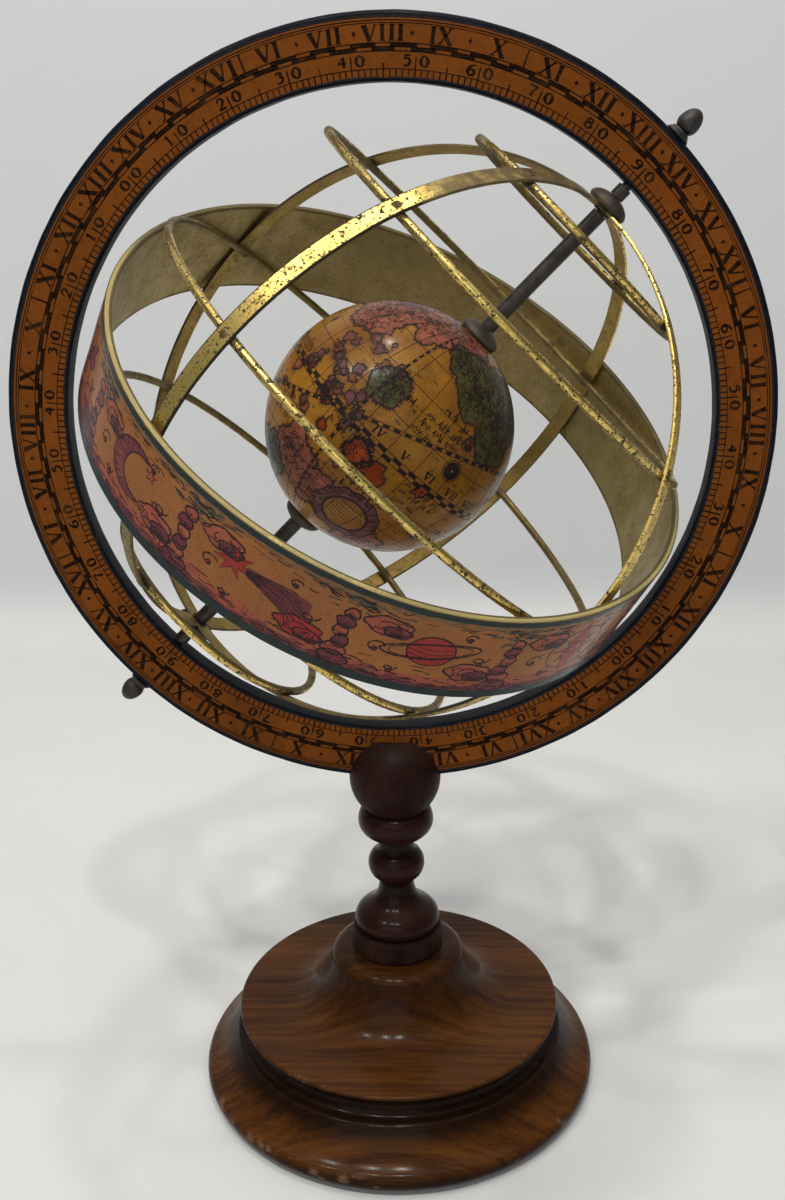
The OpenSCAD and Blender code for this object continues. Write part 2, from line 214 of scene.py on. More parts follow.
class Ink:
    # Collects thin closed shapes that lie on a printed surface. place(u, v, h) gives
    # the point at u along, v across and h above the paper, all in millimetres.
    def __init__(self, place, rise=0.03, depth=0.06):
        self.place, self.rise, self.depth = place, rise, depth
        self.points, self.faces = [], []

    def stroke(self, line, width=None, loop=False):
        # line holds (u, v) or (u, v, width) points
        pts = [p if len(p) > 2 else (p[0], p[1], width) for p in line]
        start = len(self.points)
        for i, (u, v, w) in enumerate(pts):
            a, b = beside(pts, i, loop)
            du, dv = b[0] - a[0], b[1] - a[1]
            size = math.hypot(du, dv) or 1
            nu, nv = -dv / size * w / 2, du / size * w / 2
            for side, h in self.corners():
                self.points.append(self.place(u + side * nu, v + side * nv, h))
        self.faces += tubeFaces(len(pts), 4, loop, start)

    def corners(self):
        # side and height of a stroke's four edges
        return ((1, -self.depth), (1, self.rise), (-1, self.rise), (-1, -self.depth))

    def blob(self, mid, outline, rings):
        # a filled shape that is seen whole from its middle
        n = len(outline)
        top = len(self.points)
        self.points.append(self.place(mid[0], mid[1], self.rise))
        for k in range(1, rings + 1):
            for u, v in outline:
                s = k / rings
                self.points.append(
                    self.place(mid[0] + (u - mid[0]) * s, mid[1] + (v - mid[1]) * s, self.rise))
        for i in range(n):
            j = (i + 1) % n
            self.faces.append((top, top + 1 + i, top + 1 + j))
            for k in range(rings - 1):
                a, b = top + 1 + k * n, top + 1 + (k + 1) * n
                self.faces.append((a + i, b + i, b + j, a + j))
        rim = top + 1 + (rings - 1) * n
        low = len(self.points)
        for u, v in outline:
            self.points.append(self.place(u, v, -self.depth))
        self.points.append(self.place(mid[0], mid[1], -self.depth * 1.5))
        for i in range(n):
            j = (i + 1) % n
            self.faces.append((rim + i, low + i, low + j, rim + j))
            self.faces.append((low + n, low + j, low + i))

    def piece(self, name, finish, body, slot, frameAt):
        makePiece(name, self.points, self.faces, finish, body, place=frameAt, split=30)
        print("  inked", name, len(self.faces), "faces")


# Short hands for building shader trees.

def nodeGroup(name, inputs, outputs):
    # inputs hold (name, kind, default), outputs (name, kind)
    tree = bpy.data.node_groups.new(name, "ShaderNodeTree")
    kinds = {"value": "NodeSocketFloat", "color": "NodeSocketColor", "vector": "NodeSocketVector"}
    for label, kind, default in inputs:
        socket = tree.interface.new_socket(label, in_out="INPUT", socket_type=kinds[kind])
        if default is not None:
            socket.default_value = default
    for label, kind in outputs:
        tree.interface.new_socket(label, in_out="OUTPUT", socket_type=kinds[kind])
    return Shop(tree), tree.nodes.new("NodeGroupInput"), tree.nodes.new("NodeGroupOutput")


class Shop:
    # short hands for the nodes of one tree
    def __init__(self, tree):
        self.tree = tree

    def plug(self, value, socket):
        if isinstance(value, bpy.types.NodeSocket):
            self.tree.links.new(value, socket)
        elif value is not None:
            if isinstance(value, (tuple, list)) and len(value) == 3 and socket.type == "RGBA":
                value = (*value, 1)
            socket.default_value = value

    def node(self, kind, **settings):
        made = self.tree.nodes.new(kind)
        for key, value in settings.items():
            setattr(made, key, value)
        return made

    def use(self, group, **values):
        made = self.tree.nodes.new("ShaderNodeGroup")
        made.node_tree = group
        for key, value in values.items():
            self.plug(value, made.inputs[key.replace("_", " ")])
        return made.outputs

    def place(self):
        return self.node("ShaderNodeTexCoord").outputs["Object"]

    def lay(self):
        return self.node("ShaderNodeAttribute", attribute_name="lay").outputs["Vector"]

    def stretch(self, vector, scale, turn=(0, 0, 0)):
        made = self.node("ShaderNodeMapping")
        self.plug(vector, made.inputs["Vector"])
        made.inputs["Scale"].default_value = scale
        made.inputs["Rotation"].default_value = turn
        return made.outputs["Vector"]

    def noise(self, vector, scale, detail, rough, warp=0):
        made = self.node("ShaderNodeTexNoise")
        self.plug(vector, made.inputs["Vector"])
        self.plug(scale, made.inputs["Scale"])
        made.inputs["Detail"].default_value = detail
        made.inputs["Roughness"].default_value = rough
        made.inputs["Distortion"].default_value = warp
        return made.outputs["Fac"]

    def cells(self, vector, scale):
        made = self.node("ShaderNodeTexVoronoi")
        self.plug(vector, made.inputs["Vector"])
        self.plug(scale, made.inputs["Scale"])
        return made.outputs["Distance"]

    def math(self, how, a, b, clamp):
        made = self.node("ShaderNodeMath", operation=how, use_clamp=clamp)
        for value, socket in zip((a, b), made.inputs):
            self.plug(value, socket)
        return made.outputs[0]

    def plus(self, a, b, clamp=False):
        return self.math("ADD", a, b, clamp)

    def minus(self, a, b, clamp=False):
        return self.math("SUBTRACT", a, b, clamp)

    def times(self, a, b, clamp=False):
        return self.math("MULTIPLY", a, b, clamp)

    def larger(self, a, b, clamp=False):
        return self.math("MAXIMUM", a, b, clamp)

    def band(self, value, low, high, to=(0, 1)):
        made = self.node("ShaderNodeMapRange", interpolation_type="SMOOTHSTEP")
        for given, socket in zip((value, low, high, *to), made.inputs):
            self.plug(given, socket)
        return made.outputs[0]

    def patches(self, vector, scale, detail, rough, low, high):
        # noise that is drawn apart into clear patches
        return self.band(self.noise(vector, scale, detail, rough), low, high)

    def mix(self, factor, a, b, how="MIX"):
        made = self.node("ShaderNodeMix", data_type="RGBA", blend_type=how)
        self.plug(factor, made.inputs[0])
        self.plug(a, made.inputs[6])
        self.plug(b, made.inputs[7])
        return made.outputs[2]

    def tint(self, colour, by):
        return self.mix(1, colour, by, "MULTIPLY")

    def upward(self, vector):
        split = self.node("ShaderNodeSeparateXYZ")
        self.plug(vector, split.inputs[0])
        return split.outputs["Z"]

    def normal(self):
        return self.node("ShaderNodeNewGeometry").outputs["Normal"]

    def bump(self, height, strength, reach):
        made = self.node("ShaderNodeBump")
        self.plug(height, made.inputs["Height"])
        made.inputs["Strength"].default_value = strength
        made.inputs["Distance"].default_value = reach
        return made.outputs["Normal"]

    def glance(self, low, high, to):
        # rises where the surface turns edge on
        return self.band(self.node("ShaderNodeLayerWeight").outputs["Facing"], low, high, to)

    def mark(self, name):
        return self.node("ShaderNodeAttribute", attribute_name=name).outputs["Fac"]


def finishOf(name):
    made = bpy.data.materials.new(name)
    made.use_nodes = True
    shop = Shop(made.node_tree)
    shader = made.node_tree.nodes["Principled BSDF"]

    def settle(**values):
        for key, value in values.items():
            shop.plug(value, shader.inputs[key.replace("_", " ")])
    return made, shop, settle


# Effects that several finishes share.

def grainGroup():
    s, given, out = nodeGroup("woodGrain", [
        ("Along", "vector", None), ("Light", "color", (0.2, 0.09, 0.04, 1)),
        ("Dark", "color", (0.05, 0.02, 0.01, 1)), ("Figure", "value", 0.5)],
        [("Color", "color"), ("Pores", "value"), ("Gloss", "value")])
    along = given.outputs["Along"]
    wide = s.noise(s.stretch(along, (0.06, 1, 0.3)), 60, 3, 0.5, 0.6)
    streak = s.noise(s.stretch(along, (0.035, 1, 0.3)), 420, 5, 0.6, 0.3)
    fine = s.noise(s.stretch(along, (0.03, 1, 0.5)), 2200, 3, 0.6)
    body = s.plus(s.times(wide, 0.45), s.times(streak, 0.55))
    body = s.plus(body, s.times(s.minus(fine, 0.5), 0.30))
    colour = s.mix(s.times(s.band(body, 0.32, 0.70), given.outputs["Figure"]),
                   given.outputs["Dark"], given.outputs["Light"])
    pores = s.patches(s.stretch(along, (0.05, 1, 1)), 3600, 2, 0.5, 0.6, 0.72)
    s.plug(s.mix(s.times(pores, 0.55), colour, (0.012, 0.006, 0.004)), out.inputs["Color"])
    s.plug(pores, out.inputs["Pores"])
    s.plug(s.noise(along, 90, 4, 0.6), out.inputs["Gloss"])
    return s.tree


def wearGroup():
    # where an arris is rubbed: the piece's own wear mark, broken up by noise
    s, given, out = nodeGroup("edgeWear", [
        ("Wear", "value", 0), ("Amount", "value", 0.5), ("Grit", "value", 900)],
        [("Mask", "value")])
    at = s.place()
    broken = s.times(s.noise(at, given.outputs["Grit"], 5, 0.65), s.noise(at, 70, 3, 0.6))
    reach = s.times(given.outputs["Wear"], given.outputs["Amount"])
    s.plug(s.times(s.band(s.plus(broken, reach), 0.62, 0.82),
                   s.band(given.outputs["Wear"], 0.02, 0.2)), out.inputs["Mask"])
    return s.tree


def tarnishGroup():
    # blotches, pits in rows and fine specks on old brass
    s, given, out = nodeGroup("tarnish", [
        ("Along", "vector", None), ("Amount", "value", 0.5), ("Spots", "value", 0.5),
        ("Size", "value", 150)],
        [("Blotch", "value"), ("Specks", "value"), ("Scratch", "value")])
    at = s.place()
    blotch = s.noise(at, given.outputs["Size"], 6, 0.65)
    s.plug(s.band(s.plus(blotch, s.times(given.outputs["Amount"], 0.3)), 0.5, 0.8),
           out.inputs["Blotch"])
    field = s.patches(at, 180, 4, 0.7, 0.24, 0.44)
    dots = s.minus(1, s.band(s.cells(at, 620), 0.17, 0.29))
    grit = s.minus(1, s.band(s.cells(at, 1050), 0.20, 0.34))
    rows = s.patches(given.outputs["Along"], 1500, 3, 0.6, 0.40, 0.50)
    pits = s.patches(at, 430, 5, 0.75, 0.565, 0.61)
    specks = s.larger(s.times(dots, field), s.times(grit, rows))
    s.plug(s.times(s.larger(specks, pits), given.outputs["Spots"], clamp=True),
           out.inputs["Specks"])
    s.plug(s.noise(given.outputs["Along"], 2600, 3, 0.55), out.inputs["Scratch"])
    return s.tree


def paperGroup():
    # old printed paper under varnish: fibres, foxing and uneven ink
    s, given, out = nodeGroup("oldPaper", [
        ("Color", "color", (0.3, 0.12, 0.04, 1)), ("Stain", "value", 0.5)],
        [("Color", "color"), ("Height", "value"), ("Gloss", "value")])
    at = s.place()
    colour = given.outputs["Color"]
    cloud = s.noise(at, 45, 4, 0.6)
    mottle = s.noise(at, 420, 5, 0.65)
    fibre = s.noise(s.stretch(at, (1, 0.25, 1), (0.2, 0.3, 0.7)), 3800, 3, 0.6)
    fleck = s.patches(at, 1300, 3, 0.7, 0.62, 0.72)
    speckle = s.patches(at, 1700, 5, 0.8, 0.40, 0.60)
    for amount, shade in ((s.times(s.band(cloud, 0.35, 0.7), 0.6), (1.35, 1.3, 1.2)),
                          (s.times(speckle, 0.55), (0.66, 0.58, 0.5)),
                          (s.times(s.band(mottle, 0.45, 0.75), given.outputs["Stain"]),
                           (0.62, 0.5, 0.45)),
                          (s.times(s.band(fibre, 0.5, 0.8), 0.35), (0.66, 0.6, 0.55))):
        colour = s.mix(amount, colour, s.tint(colour, shade))
    s.plug(s.mix(s.times(fleck, 0.3), colour, (0.09, 0.035, 0.012)), out.inputs["Color"])
    s.plug(s.plus(s.times(fibre, 0.6), s.times(mottle, 0.4)), out.inputs["Height"])
    s.plug(cloud, out.inputs["Gloss"])
    return s.tree


def dustGroup():
    # thin grey dust that settles where a surface looks up
    s, given, out = nodeGroup("settledDust", [("Amount", "value", 0.3)], [("Mask", "value")])
    at = s.place()
    fluff = s.times(s.noise(at, 160, 5, 0.7), s.noise(at, 2400, 2, 0.6))
    s.plug(s.times(s.times(s.band(s.upward(s.normal()), 0.3, 1), fluff),
                   given.outputs["Amount"], clamp=True), out.inputs["Mask"])
    return s.tree


grain, rubbed, tarnish, oldPaper, dust = (
    grainGroup(), wearGroup(), tarnishGroup(), paperGroup(), dustGroup())


# The finishes themselves.

def woodFinish(name, light, dark, worn, rough, coat, coatRough, wearAmount, dustAndSheen,
               turn=(0, 0, 0), steepShade=1.0):
    made, s, settle = finishOf(name)
    along = s.stretch(s.place(), (1, 1, 1), turn)
    wood = s.use(grain, Along=along, Light=light, Dark=dark, Figure=1)
    edge = s.use(rubbed, Wear=s.mark("wear"), Amount=wearAmount, Grit=800)
    grey = s.use(dust, Amount=dustAndSheen)["Mask"]
    bare = s.larger(edge["Mask"], s.mark("chips"))
    # painted shade: steep faces of the turning are darkened, a little bluer, as if less lit
    thick = s.mix(s.band(s.upward(s.normal()), -0.2, 0.95),
                  (steepShade, steepShade, steepShade * 1.15), (1, 1, 1))
    # and painted shade darkens the hollows: between the bases, under the rim and in the necks
    thick = s.mix(s.mark("hollowShade"), thick, (0.16, 0.16, 0.2))
    colour = s.tint(wood["Color"], thick)
    colour = s.mix(bare, colour, worn)
    colour = s.mix(grey, colour, (0.22, 0.19, 0.16))
    roughness = s.band(wood["Gloss"], 0.3, 0.7, (rough - 0.06, rough + 0.12))
    height = s.minus(wood["Gloss"], s.times(wood["Pores"], 0.5))
    settle(Base_Color=colour, Roughness=s.larger(roughness, s.times(bare, 0.6)),
           Coat_Weight=s.times(s.minus(1, bare), s.glance(0.3, 0.85, (coat * 0.75, coat * 1.8))),
           Coat_Roughness=coatRough, Coat_IOR=1.45, Specular_IOR_Level=0.03,
           Normal=s.bump(height, 0.35, 0.00006))
    return made


def brassFinish(name, bright, dull, spots, amount, rough, across, edge, scratch=0.1, own=True,
                rimGlint=None, size=150, dirt=0.62, agedAndShaded=None):
    made, s, settle = finishOf(name)
    along = s.stretch(s.lay() if own else s.place(), (0.3, 0.3, 0.3 * across))
    old = s.use(tarnish, Along=along, Amount=amount, Spots=spots, Size=size)
    worn = s.use(rubbed, Wear=s.mark("wear"), Amount=edge, Grit=1300)["Mask"]
    near = s.mark("grime")
    patch = s.larger(s.times(old["Blotch"], amount), near, clamp=True)
    colour = s.mix(patch, bright, dull)
    # black specks, black on rubbed edges and dirt that gathers near rivets
    grains = s.plus(near, s.times(s.minus(s.noise(s.place(), 1100, 4, 0.7), 0.5), 2.2))
    black = s.larger(old["Specks"], s.times(worn, edge), clamp=True)
    black = s.larger(black, s.times(s.band(grains, dirt, dirt + 0.2), 0.95), clamp=True)
    metal = s.band(black, 0.2, 0.9, (1, 0.35))
    # the band's front rim gets a bright, less metallic colour: a painted highlight
    if rimGlint:
        rim = s.mark("rim")
        colour = s.mix(rim, colour, rimGlint)
        rough = s.band(rim, 0, 1, (rough, 0.2))
        metal = s.minus(metal, s.times(rim, 0.75), clamp=True)
    if agedAndShaded:
        # faces that nobody rubs are dull and even with tarnish, and faces looking into the cage
        # are dulled as painted shade
        ragged = s.times(s.minus(s.noise(s.place(), 240, 4, 0.65), 0.5), 0.9)
        flat = s.band(s.plus(s.mark("dullAndShaded"), ragged), 0.25, 0.7)
        tone = s.mix(s.band(s.mark("dullAndShaded"), 0.62, 0.95), (0.155, 0.110, 0.060), agedAndShaded)
        tone = s.mix(s.times(s.patches(s.place(), 130, 5, 0.7, 0.4, 0.65), 0.6),
                     tone, s.tint(tone, (0.5, 0.46, 0.42)))
        colour = s.mix(s.times(flat, 0.9), colour, tone)
        black = s.times(black, s.band(flat, 0, 1, (1, 0.4)))
        rough = s.band(flat, 0, 1, (rough, 0.46))
    rate = s.plus(s.plus(rough, s.times(patch, 0.25)), s.times(black, 0.35))
    rate = s.plus(rate, s.times(s.minus(old["Scratch"], 0.5), scratch), clamp=True)
    height = s.minus(s.times(old["Scratch"], 0.5), black)
    settle(Base_Color=s.mix(black, colour, (0.035, 0.022, 0.012)), Roughness=rate,
           Metallic=metal, Normal=s.bump(height, 0.4, 0.00004))
    return made


def paperFinish(name, colour):
    made, s, settle = finishOf(name)
    paper = s.use(oldPaper, Color=colour, Stain=0.5)
    settle(Base_Color=paper["Color"], Specular_IOR_Level=0.05,
           Roughness=s.band(paper["Gloss"], 0.2, 0.8, (0.44, 0.62)),
           Coat_Weight=0.01, Coat_Roughness=0.3,
           Normal=s.bump(paper["Height"], 0.35, 0.00005))
    return made


def inkFinish(name, colour, fade, under=(0.12, 0.05, 0.02), rough=0.5, gloss=0.12):
    # printed ink, thin in places so that the paper's tone comes through
    made, s, settle = finishOf(name)
    at = s.place()
    worn = s.times(s.patches(at, 1600, 4, 0.7, 0.45, 0.75), fade)
    wide = s.times(s.patches(at, 160, 3, 0.6, 0.45, 0.75), fade)
    settle(Base_Color=s.mix(s.larger(worn, wide), colour, under),
           Specular_IOR_Level=gloss, Coat_Roughness=0.2,
           Coat_Weight=s.glance(0.5, 0.92, (0, 0.8)),
           Roughness=s.band(s.noise(at, 700, 3, 0.6), 0.3, 0.7, (rough - 0.06, rough + 0.08)),
           Normal=s.bump(s.noise(at, 3000, 2, 0.6), 0.2, 0.00002))
    return made


def bronzeFinish(name, tone, warm, rough, metallic=0.85, edge=0.4):
    made, s, settle = finishOf(name)
    at = s.place()
    cloud = s.noise(at, 260, 5, 0.65)
    fine = s.noise(at, 2600, 3, 0.6)
    worn = s.use(rubbed, Wear=s.mark("wear"), Amount=edge, Grit=1500)["Mask"]
    colour = s.mix(s.band(cloud, 0.35, 0.7), tone, warm)
    settle(Base_Color=s.mix(s.times(worn, 0.7), colour, (0.3, 0.24, 0.18)), Metallic=metallic,
           Roughness=s.band(s.plus(cloud, s.times(fine, 0.3)), 0.4, 0.9,
                            (rough - 0.08, rough + 0.18)),
           Normal=s.bump(s.plus(fine, cloud), 0.25, 0.00003))
    return made


def lacquerFinish():
    # the ring's black paint, brushed on by hand
    made, s, settle = finishOf("blackLacquer")
    brushed = s.noise(s.stretch(s.lay(), (1, 1, 4)), 320, 4, 0.6)
    edge = s.use(rubbed, Wear=s.mark("wear"), Amount=0.3, Grit=900)
    grey = s.use(dust, Amount=0.05)["Mask"]
    colour = s.mix(s.band(brushed, 0.35, 0.75), (0.004, 0.006, 0.010), (0.009, 0.012, 0.019))
    colour = s.mix(edge["Mask"], colour, (0.11, 0.05, 0.03))
    settle(Base_Color=s.mix(grey, colour, (0.16, 0.15, 0.14)),
           Roughness=s.band(brushed, 0.3, 0.7, (0.36, 0.5)),
           Coat_Weight=0.035, Coat_Roughness=0.16, Specular_IOR_Level=0.04,
           Normal=s.bump(brushed, 0.35, 0.00012))
    return made


def feltFinish():
    made, s, settle = finishOf("greenFelt")
    at = s.place()
    nap = s.noise(at, 2400, 5, 0.75, 1.2)
    colour = s.mix(nap, (0.007, 0.026, 0.013), (0.020, 0.060, 0.030))
    settle(Base_Color=s.mix(s.patches(at, 60, 4, 0.6, 0.5, 0.8), colour, (0.03, 0.045, 0.03)),
           Roughness=0.95, Sheen_Weight=0.08, Sheen_Roughness=0.5,
           Normal=s.bump(nap, 0.9, 0.0004))
    return made


def steelFinish():
    made, s, settle = finishOf("fixingSteel")
    at = s.place()
    turned = s.noise(s.stretch(at, (1, 1, 8)), 1400, 3, 0.6)
    rust = s.patches(at, 420, 5, 0.7, 0.58, 0.72)
    settle(Base_Color=s.mix(rust, (0.42, 0.42, 0.41), (0.16, 0.07, 0.03)),
           Metallic=s.band(rust, 0, 1, (1, 0.2)),
           Roughness=s.plus(0.28, s.times(s.larger(turned, rust), 0.3)),
           Normal=s.bump(turned, 0.3, 0.00003))
    return made


onEnd = (0, math.radians(90), 0)
turnedWood = woodFinish("baseWood", (0.124, 0.0415, 0.0062), (0.030, 0.0090, 0.0028),
                        (0.15, 0.085, 0.05), rough=0.4, coat=0.19, coatRough=0.15,
                        wearAmount=0.34, dustAndSheen=0.035, steepShade=0.27)
darkWood = woodFinish("columnWood", (0.031, 0.0095, 0.0060), (0.014, 0.0045, 0.0032),
                      (0.08, 0.035, 0.02), rough=0.38, coat=0.25, coatRough=0.17,
                      wearAmount=0.24, dustAndSheen=0.04, turn=onEnd)
# the ball's heavy grey dust on its top is partly dust, partly a painted sheen
socketWood = woodFinish("socketWood", (0.028, 0.0105, 0.0070), (0.013, 0.0045, 0.0034),
                        (0.08, 0.035, 0.02), rough=0.46, coat=0.10, coatRough=0.34,
                        wearAmount=0.24, dustAndSheen=0.22, turn=onEnd)
dullWood = woodFinish("collarWood", (0.034, 0.014, 0.009), (0.013, 0.0055, 0.004),
                      (0.07, 0.035, 0.022), rough=0.55, coat=0.08, coatRough=0.3,
                      wearAmount=0.4, dustAndSheen=0.05, turn=onEnd)
blackLacquer = lacquerFinish()
ringPaper = paperFinish("ringPaper", (0.183, 0.055, 0.0070))
stripBrass = brassFinish("stripBrass", (0.82, 0.61, 0.18), (0.40, 0.25, 0.07), spots=1.0,
                         amount=0.4, rough=0.37, across=8, edge=1.1, dirt=0.46,
                         agedAndShaded=(0.37, 0.255, 0.075))
wireBrass = brassFinish("wireBrass", (0.86, 0.63, 0.18), (0.13, 0.085, 0.045), spots=1.0,
                        amount=0.5, rough=0.2, across=1, edge=0, size=300, dirt=0.36,
                        agedAndShaded=(0.20, 0.145, 0.062))
bandBrass = brassFinish("bandBrass", (0.385, 0.30, 0.125), (0.27, 0.20, 0.075), spots=0.22,
                        amount=0.5, rough=0.44, across=1, edge=0.6, scratch=0.04, size=110,
                        rimGlint=(1.0, 0.80, 0.30), dirt=0.7)
rivetBrass = brassFinish("rivetBrass", (0.42, 0.30, 0.12), (0.10, 0.07, 0.04), spots=0.8,
                         amount=0.9, rough=0.35, across=1, edge=0, own=False)
burnishedBronze = bronzeFinish("burnishedBronze", (0.062, 0.050, 0.039), (0.105, 0.085, 0.062),
                               rough=0.54, metallic=0.6)
darkRod = bronzeFinish("darkRod", (0.040, 0.034, 0.031), (0.075, 0.062, 0.052), rough=0.36)
finialBronze = bronzeFinish("finialBronze", (0.036, 0.033, 0.032), (0.064, 0.055, 0.050),
                            rough=0.44, metallic=0.7, edge=0.12)
fixingSteel = steelFinish()
greenFelt = feltFinish()
blackInk = inkFinish("blackInk", (0.0095, 0.0045, 0.0018), fade=0.36, gloss=0.04)
edgeInk = inkFinish("edgeInk", (0.010, 0.011, 0.014), fade=0.12, rough=0.34)
print("finishes mixed:", len(bpy.data.materials))


def dress(finish, *names):
    # one finish on all of a solid's faces
    for name in names:
        node = nodes[name]
        if not node.material_slots:
            node.data.materials.append(finish)
        for slot in node.material_slots:
            slot.material = finish


dress(greenFelt, "base_felt")
dress(fixingSteel, "base_washer", "base_screw")
dress(darkRod, "axis_rod", "axis_spacers", "axis_sleeves", "cage_washers")
dress(burnishedBronze, "cage_hubs", "globe_hubs")
dress(rivetBrass, "cage_rivets", "band_rivets")

# The turned stand.

stand = dict(
    lowerRadius=70.3, lowerHeight=17.2, nosing=3.6, felt=1.2,
    upperRadius=57.4, discHeight=9.9, cove=3.2, rim=1.0,
    bellRadius=23.6, bellHeight=21.1, shoulder=3.9,
    collarRadius=15.9, collarHeight=7.9,
    footRadius=15.0, footHeight=17.0, neck=6.15, bead=9.9, beadHeight=11.6,
    neckHeight=4.0, cup=13.1, cupHeight=12.0,
    # knocks on the lower nosing, thickest at the front left where it is chipped pale:
    # how many, seed, height over the disc's foot, spread and arc in degrees
    knocks=((26, 11, 4.6, 2.4, (205, 262)), (12, 5, 4.4, 2.0, (262, 560))))
lowerZ = stand["felt"]
upperZ = lowerZ + stand["lowerHeight"]
discZ = upperZ + stand["discHeight"]
bellZ = discZ + stand["bellHeight"]
footZ = bellZ + stand["collarHeight"]
beadZ = footZ + stand["footHeight"] + 2
cupZ = beadZ + stand["beadHeight"] + stand["neckHeight"]


def turnedPiece(name, outline, finish, replaced, steps=300, shape=None, chips=None,
                hollowShade=None):
    outline = cleanOutline([(0, outline[0][1])] + outline + [(0, outline[-1][1])])
    points, faces, wear = revolve(outline, steps, shape=shape)
    marks = {key: [give(p) for p in points]
             for key, give in (("chips", chips), ("hollowShade", hollowShade)) if give}
    makePiece(name, points, faces, finish, "stand", replaced=replaced, wear=wear,
              marks=marks, split=50)


def chipList(count, seed, high, spread, arc):
    # where each knock lies, how wide it is and how deep
    rnd = random.Random(seed)
    return [(onHoop(stand["lowerRadius"] - 0.3, math.radians(rnd.uniform(*arc)),
                    lowerZ + high + rnd.uniform(-spread, spread)),
             rnd.uniform(0.4, 1.4), rnd.uniform(0.1, 0.35)) for _ in range(count)]


nosingChips = [chip for row in stand["knocks"] for chip in chipList(*row)]


def dented(a, r, z):
    p = onHoop(r, a, z)
    sink = 0
    for spot, size, depth in nosingChips:
        gap = (p - spot).length
        if gap < size:
            sink = max(sink, depth * (1 - gap / size) ** 0.6)
    sink += 0.05 * noise.noise(p * 0.12)
    return r - sink, z


def chipped(p):
    best = 0
    q = p / mm
    for spot, size, depth in nosingChips:
        gap = (q - spot).length
        if gap < size * 2:
            grit = noise.fractal(q * 0.9, 0.8, 2.2, 4)
            best = max(best, (1 - gap / (size * 1.5)) * 1.5 + 0.9 * grit)
    return clamp(best)


def shadeWithin(p, reach, fade):
    # painted shade, full up to a radius and fading over the last of it
    return clamp((reach - p.xy.length / mm) / fade)


def shadeBetweenBases(p):
    # painted shade in the angle between the two bases
    return shadeWithin(p, stand["upperRadius"] + 6.5, 4)


def shadeUnderRim(p):
    # painted shade in the cove under the rim, thinner on the bell
    if p.z / mm < discZ - stand["rim"] * 1.4:
        return 1
    return 0.4 * shadeWithin(p, stand["bellRadius"] + 10, 6)


def shadeInNecks(p):
    # painted shade in the column's necks
    return 0.7 * shadeWithin(p, stand["neck"] + 3.4, 3)


s = stand
nose = s["nosing"]
lowerOutline = bow(s["lowerRadius"] - nose, lowerZ + nose, nose, nose, -90, 58, 40) + sweep(
    (s["lowerRadius"] - nose * (1 - math.cos(math.radians(60))),
     lowerZ + nose * (1 + math.sin(math.radians(60)))),
    (s["lowerRadius"] - 5.3, lowerZ + 8.7), (s["upperRadius"] + 4.5, upperZ - 5),
    (s["upperRadius"] + 1.2, upperZ - 0.6), 40) + [
    (s["upperRadius"] + 0.7, upperZ - 0.25), (s["upperRadius"], upperZ)]
turnedPiece("base_lower_disc", lowerOutline, turnedWood, ("lower_base",),
            steps=420, shape=dented, chips=chipped, hollowShade=shadeBetweenBases)

coveHeight = s["discHeight"] - 2 * s["rim"] - 0.2
upperOutline = bow(s["upperRadius"] - 0.8, upperZ + coveHeight / 2, s["cove"],
                   coveHeight / 2, 270, 90, 30) + bow(
    s["upperRadius"] - s["rim"], discZ - s["rim"], s["rim"], s["rim"], -60, 90, 16) + sweep(
    (s["bellRadius"] + 20, discZ), (s["bellRadius"] + 6.4, discZ + 0.3),
    (s["bellRadius"] + 2.4, discZ + 10), (s["bellRadius"], bellZ - s["shoulder"]), 48) + bow(
    s["bellRadius"] - 5, bellZ - s["shoulder"], 5, s["shoulder"], 0, 90, 20)
turnedPiece("base_upper_bell", upperOutline, turnedWood, ("upper_base",),
            steps=360, hollowShade=shadeUnderRim,
            shape=lambda a, r, z: (r + 0.04 * noise.noise(onHoop(r, a, z) * 0.1), z))

collarOutline = bow(s["collarRadius"] - 1.1, bellZ + 1.1, 1.1, 1.1, -90, 0, 12) + bow(
    s["collarRadius"] - 1.1, footZ - 1.1, 1.1, 1.1, 0, 90, 12)


def roughCollar(a, r, z):
    # the collar's lower arris is ragged where old glue and wax have built up
    low = max(0, 1 - (z - bellZ) / 2.2)
    grit = noise.fractal(onHoop(9, a, z * 0.8), 0.8, 2.2, 4)
    return r + (0.10 + 0.22 * low) * grit if r > 4 else r, z


turnedPiece("column_collar_ring", collarOutline, dullWood, ("column_collar",),
            shape=roughCollar)

columnOutline = bow(s["footRadius"] - 3.4, footZ + 3.4, 3.4, 3.4, -90, 20, 28) + sweep(
    (s["footRadius"] - 0.3, footZ + 4.8), (s["footRadius"] - 1.6, footZ + 9.4),
    (s["neck"] + 0.4, footZ + 8.6), (s["neck"], footZ + s["footHeight"]), 40) + [
    (s["neck"], beadZ - 0.6), (s["neck"] + 0.5, beadZ)] + bow(
    s["bead"] / 2, beadZ + s["beadHeight"] / 2, s["bead"] / 2, s["beadHeight"] / 2,
    -68, 62, 40) + sweep(
    (s["neck"] + 0.5, beadZ + s["beadHeight"]), (s["neck"], beadZ + s["beadHeight"] + 1),
    (s["neck"] - 0.1, cupZ - 1), (s["neck"] + 0.2, cupZ), 16) + bow(
    3.5, cupZ + 0.6 * s["cupHeight"], s["cup"] - 3.5, 0.6 * s["cupHeight"], -72, 0, 30) + bow(
    s["cup"] - 2.7, cupZ + 0.6 * s["cupHeight"], 2.7, 0.4 * s["cupHeight"], 6, 90, 20)
turnedPiece("column_turning", columnOutline, darkWood, ("column",),
            hollowShade=shadeInNecks)
dress(socketWood, "ring_socket")
print("stand turned")

# The meridian ring and its two paper scales.

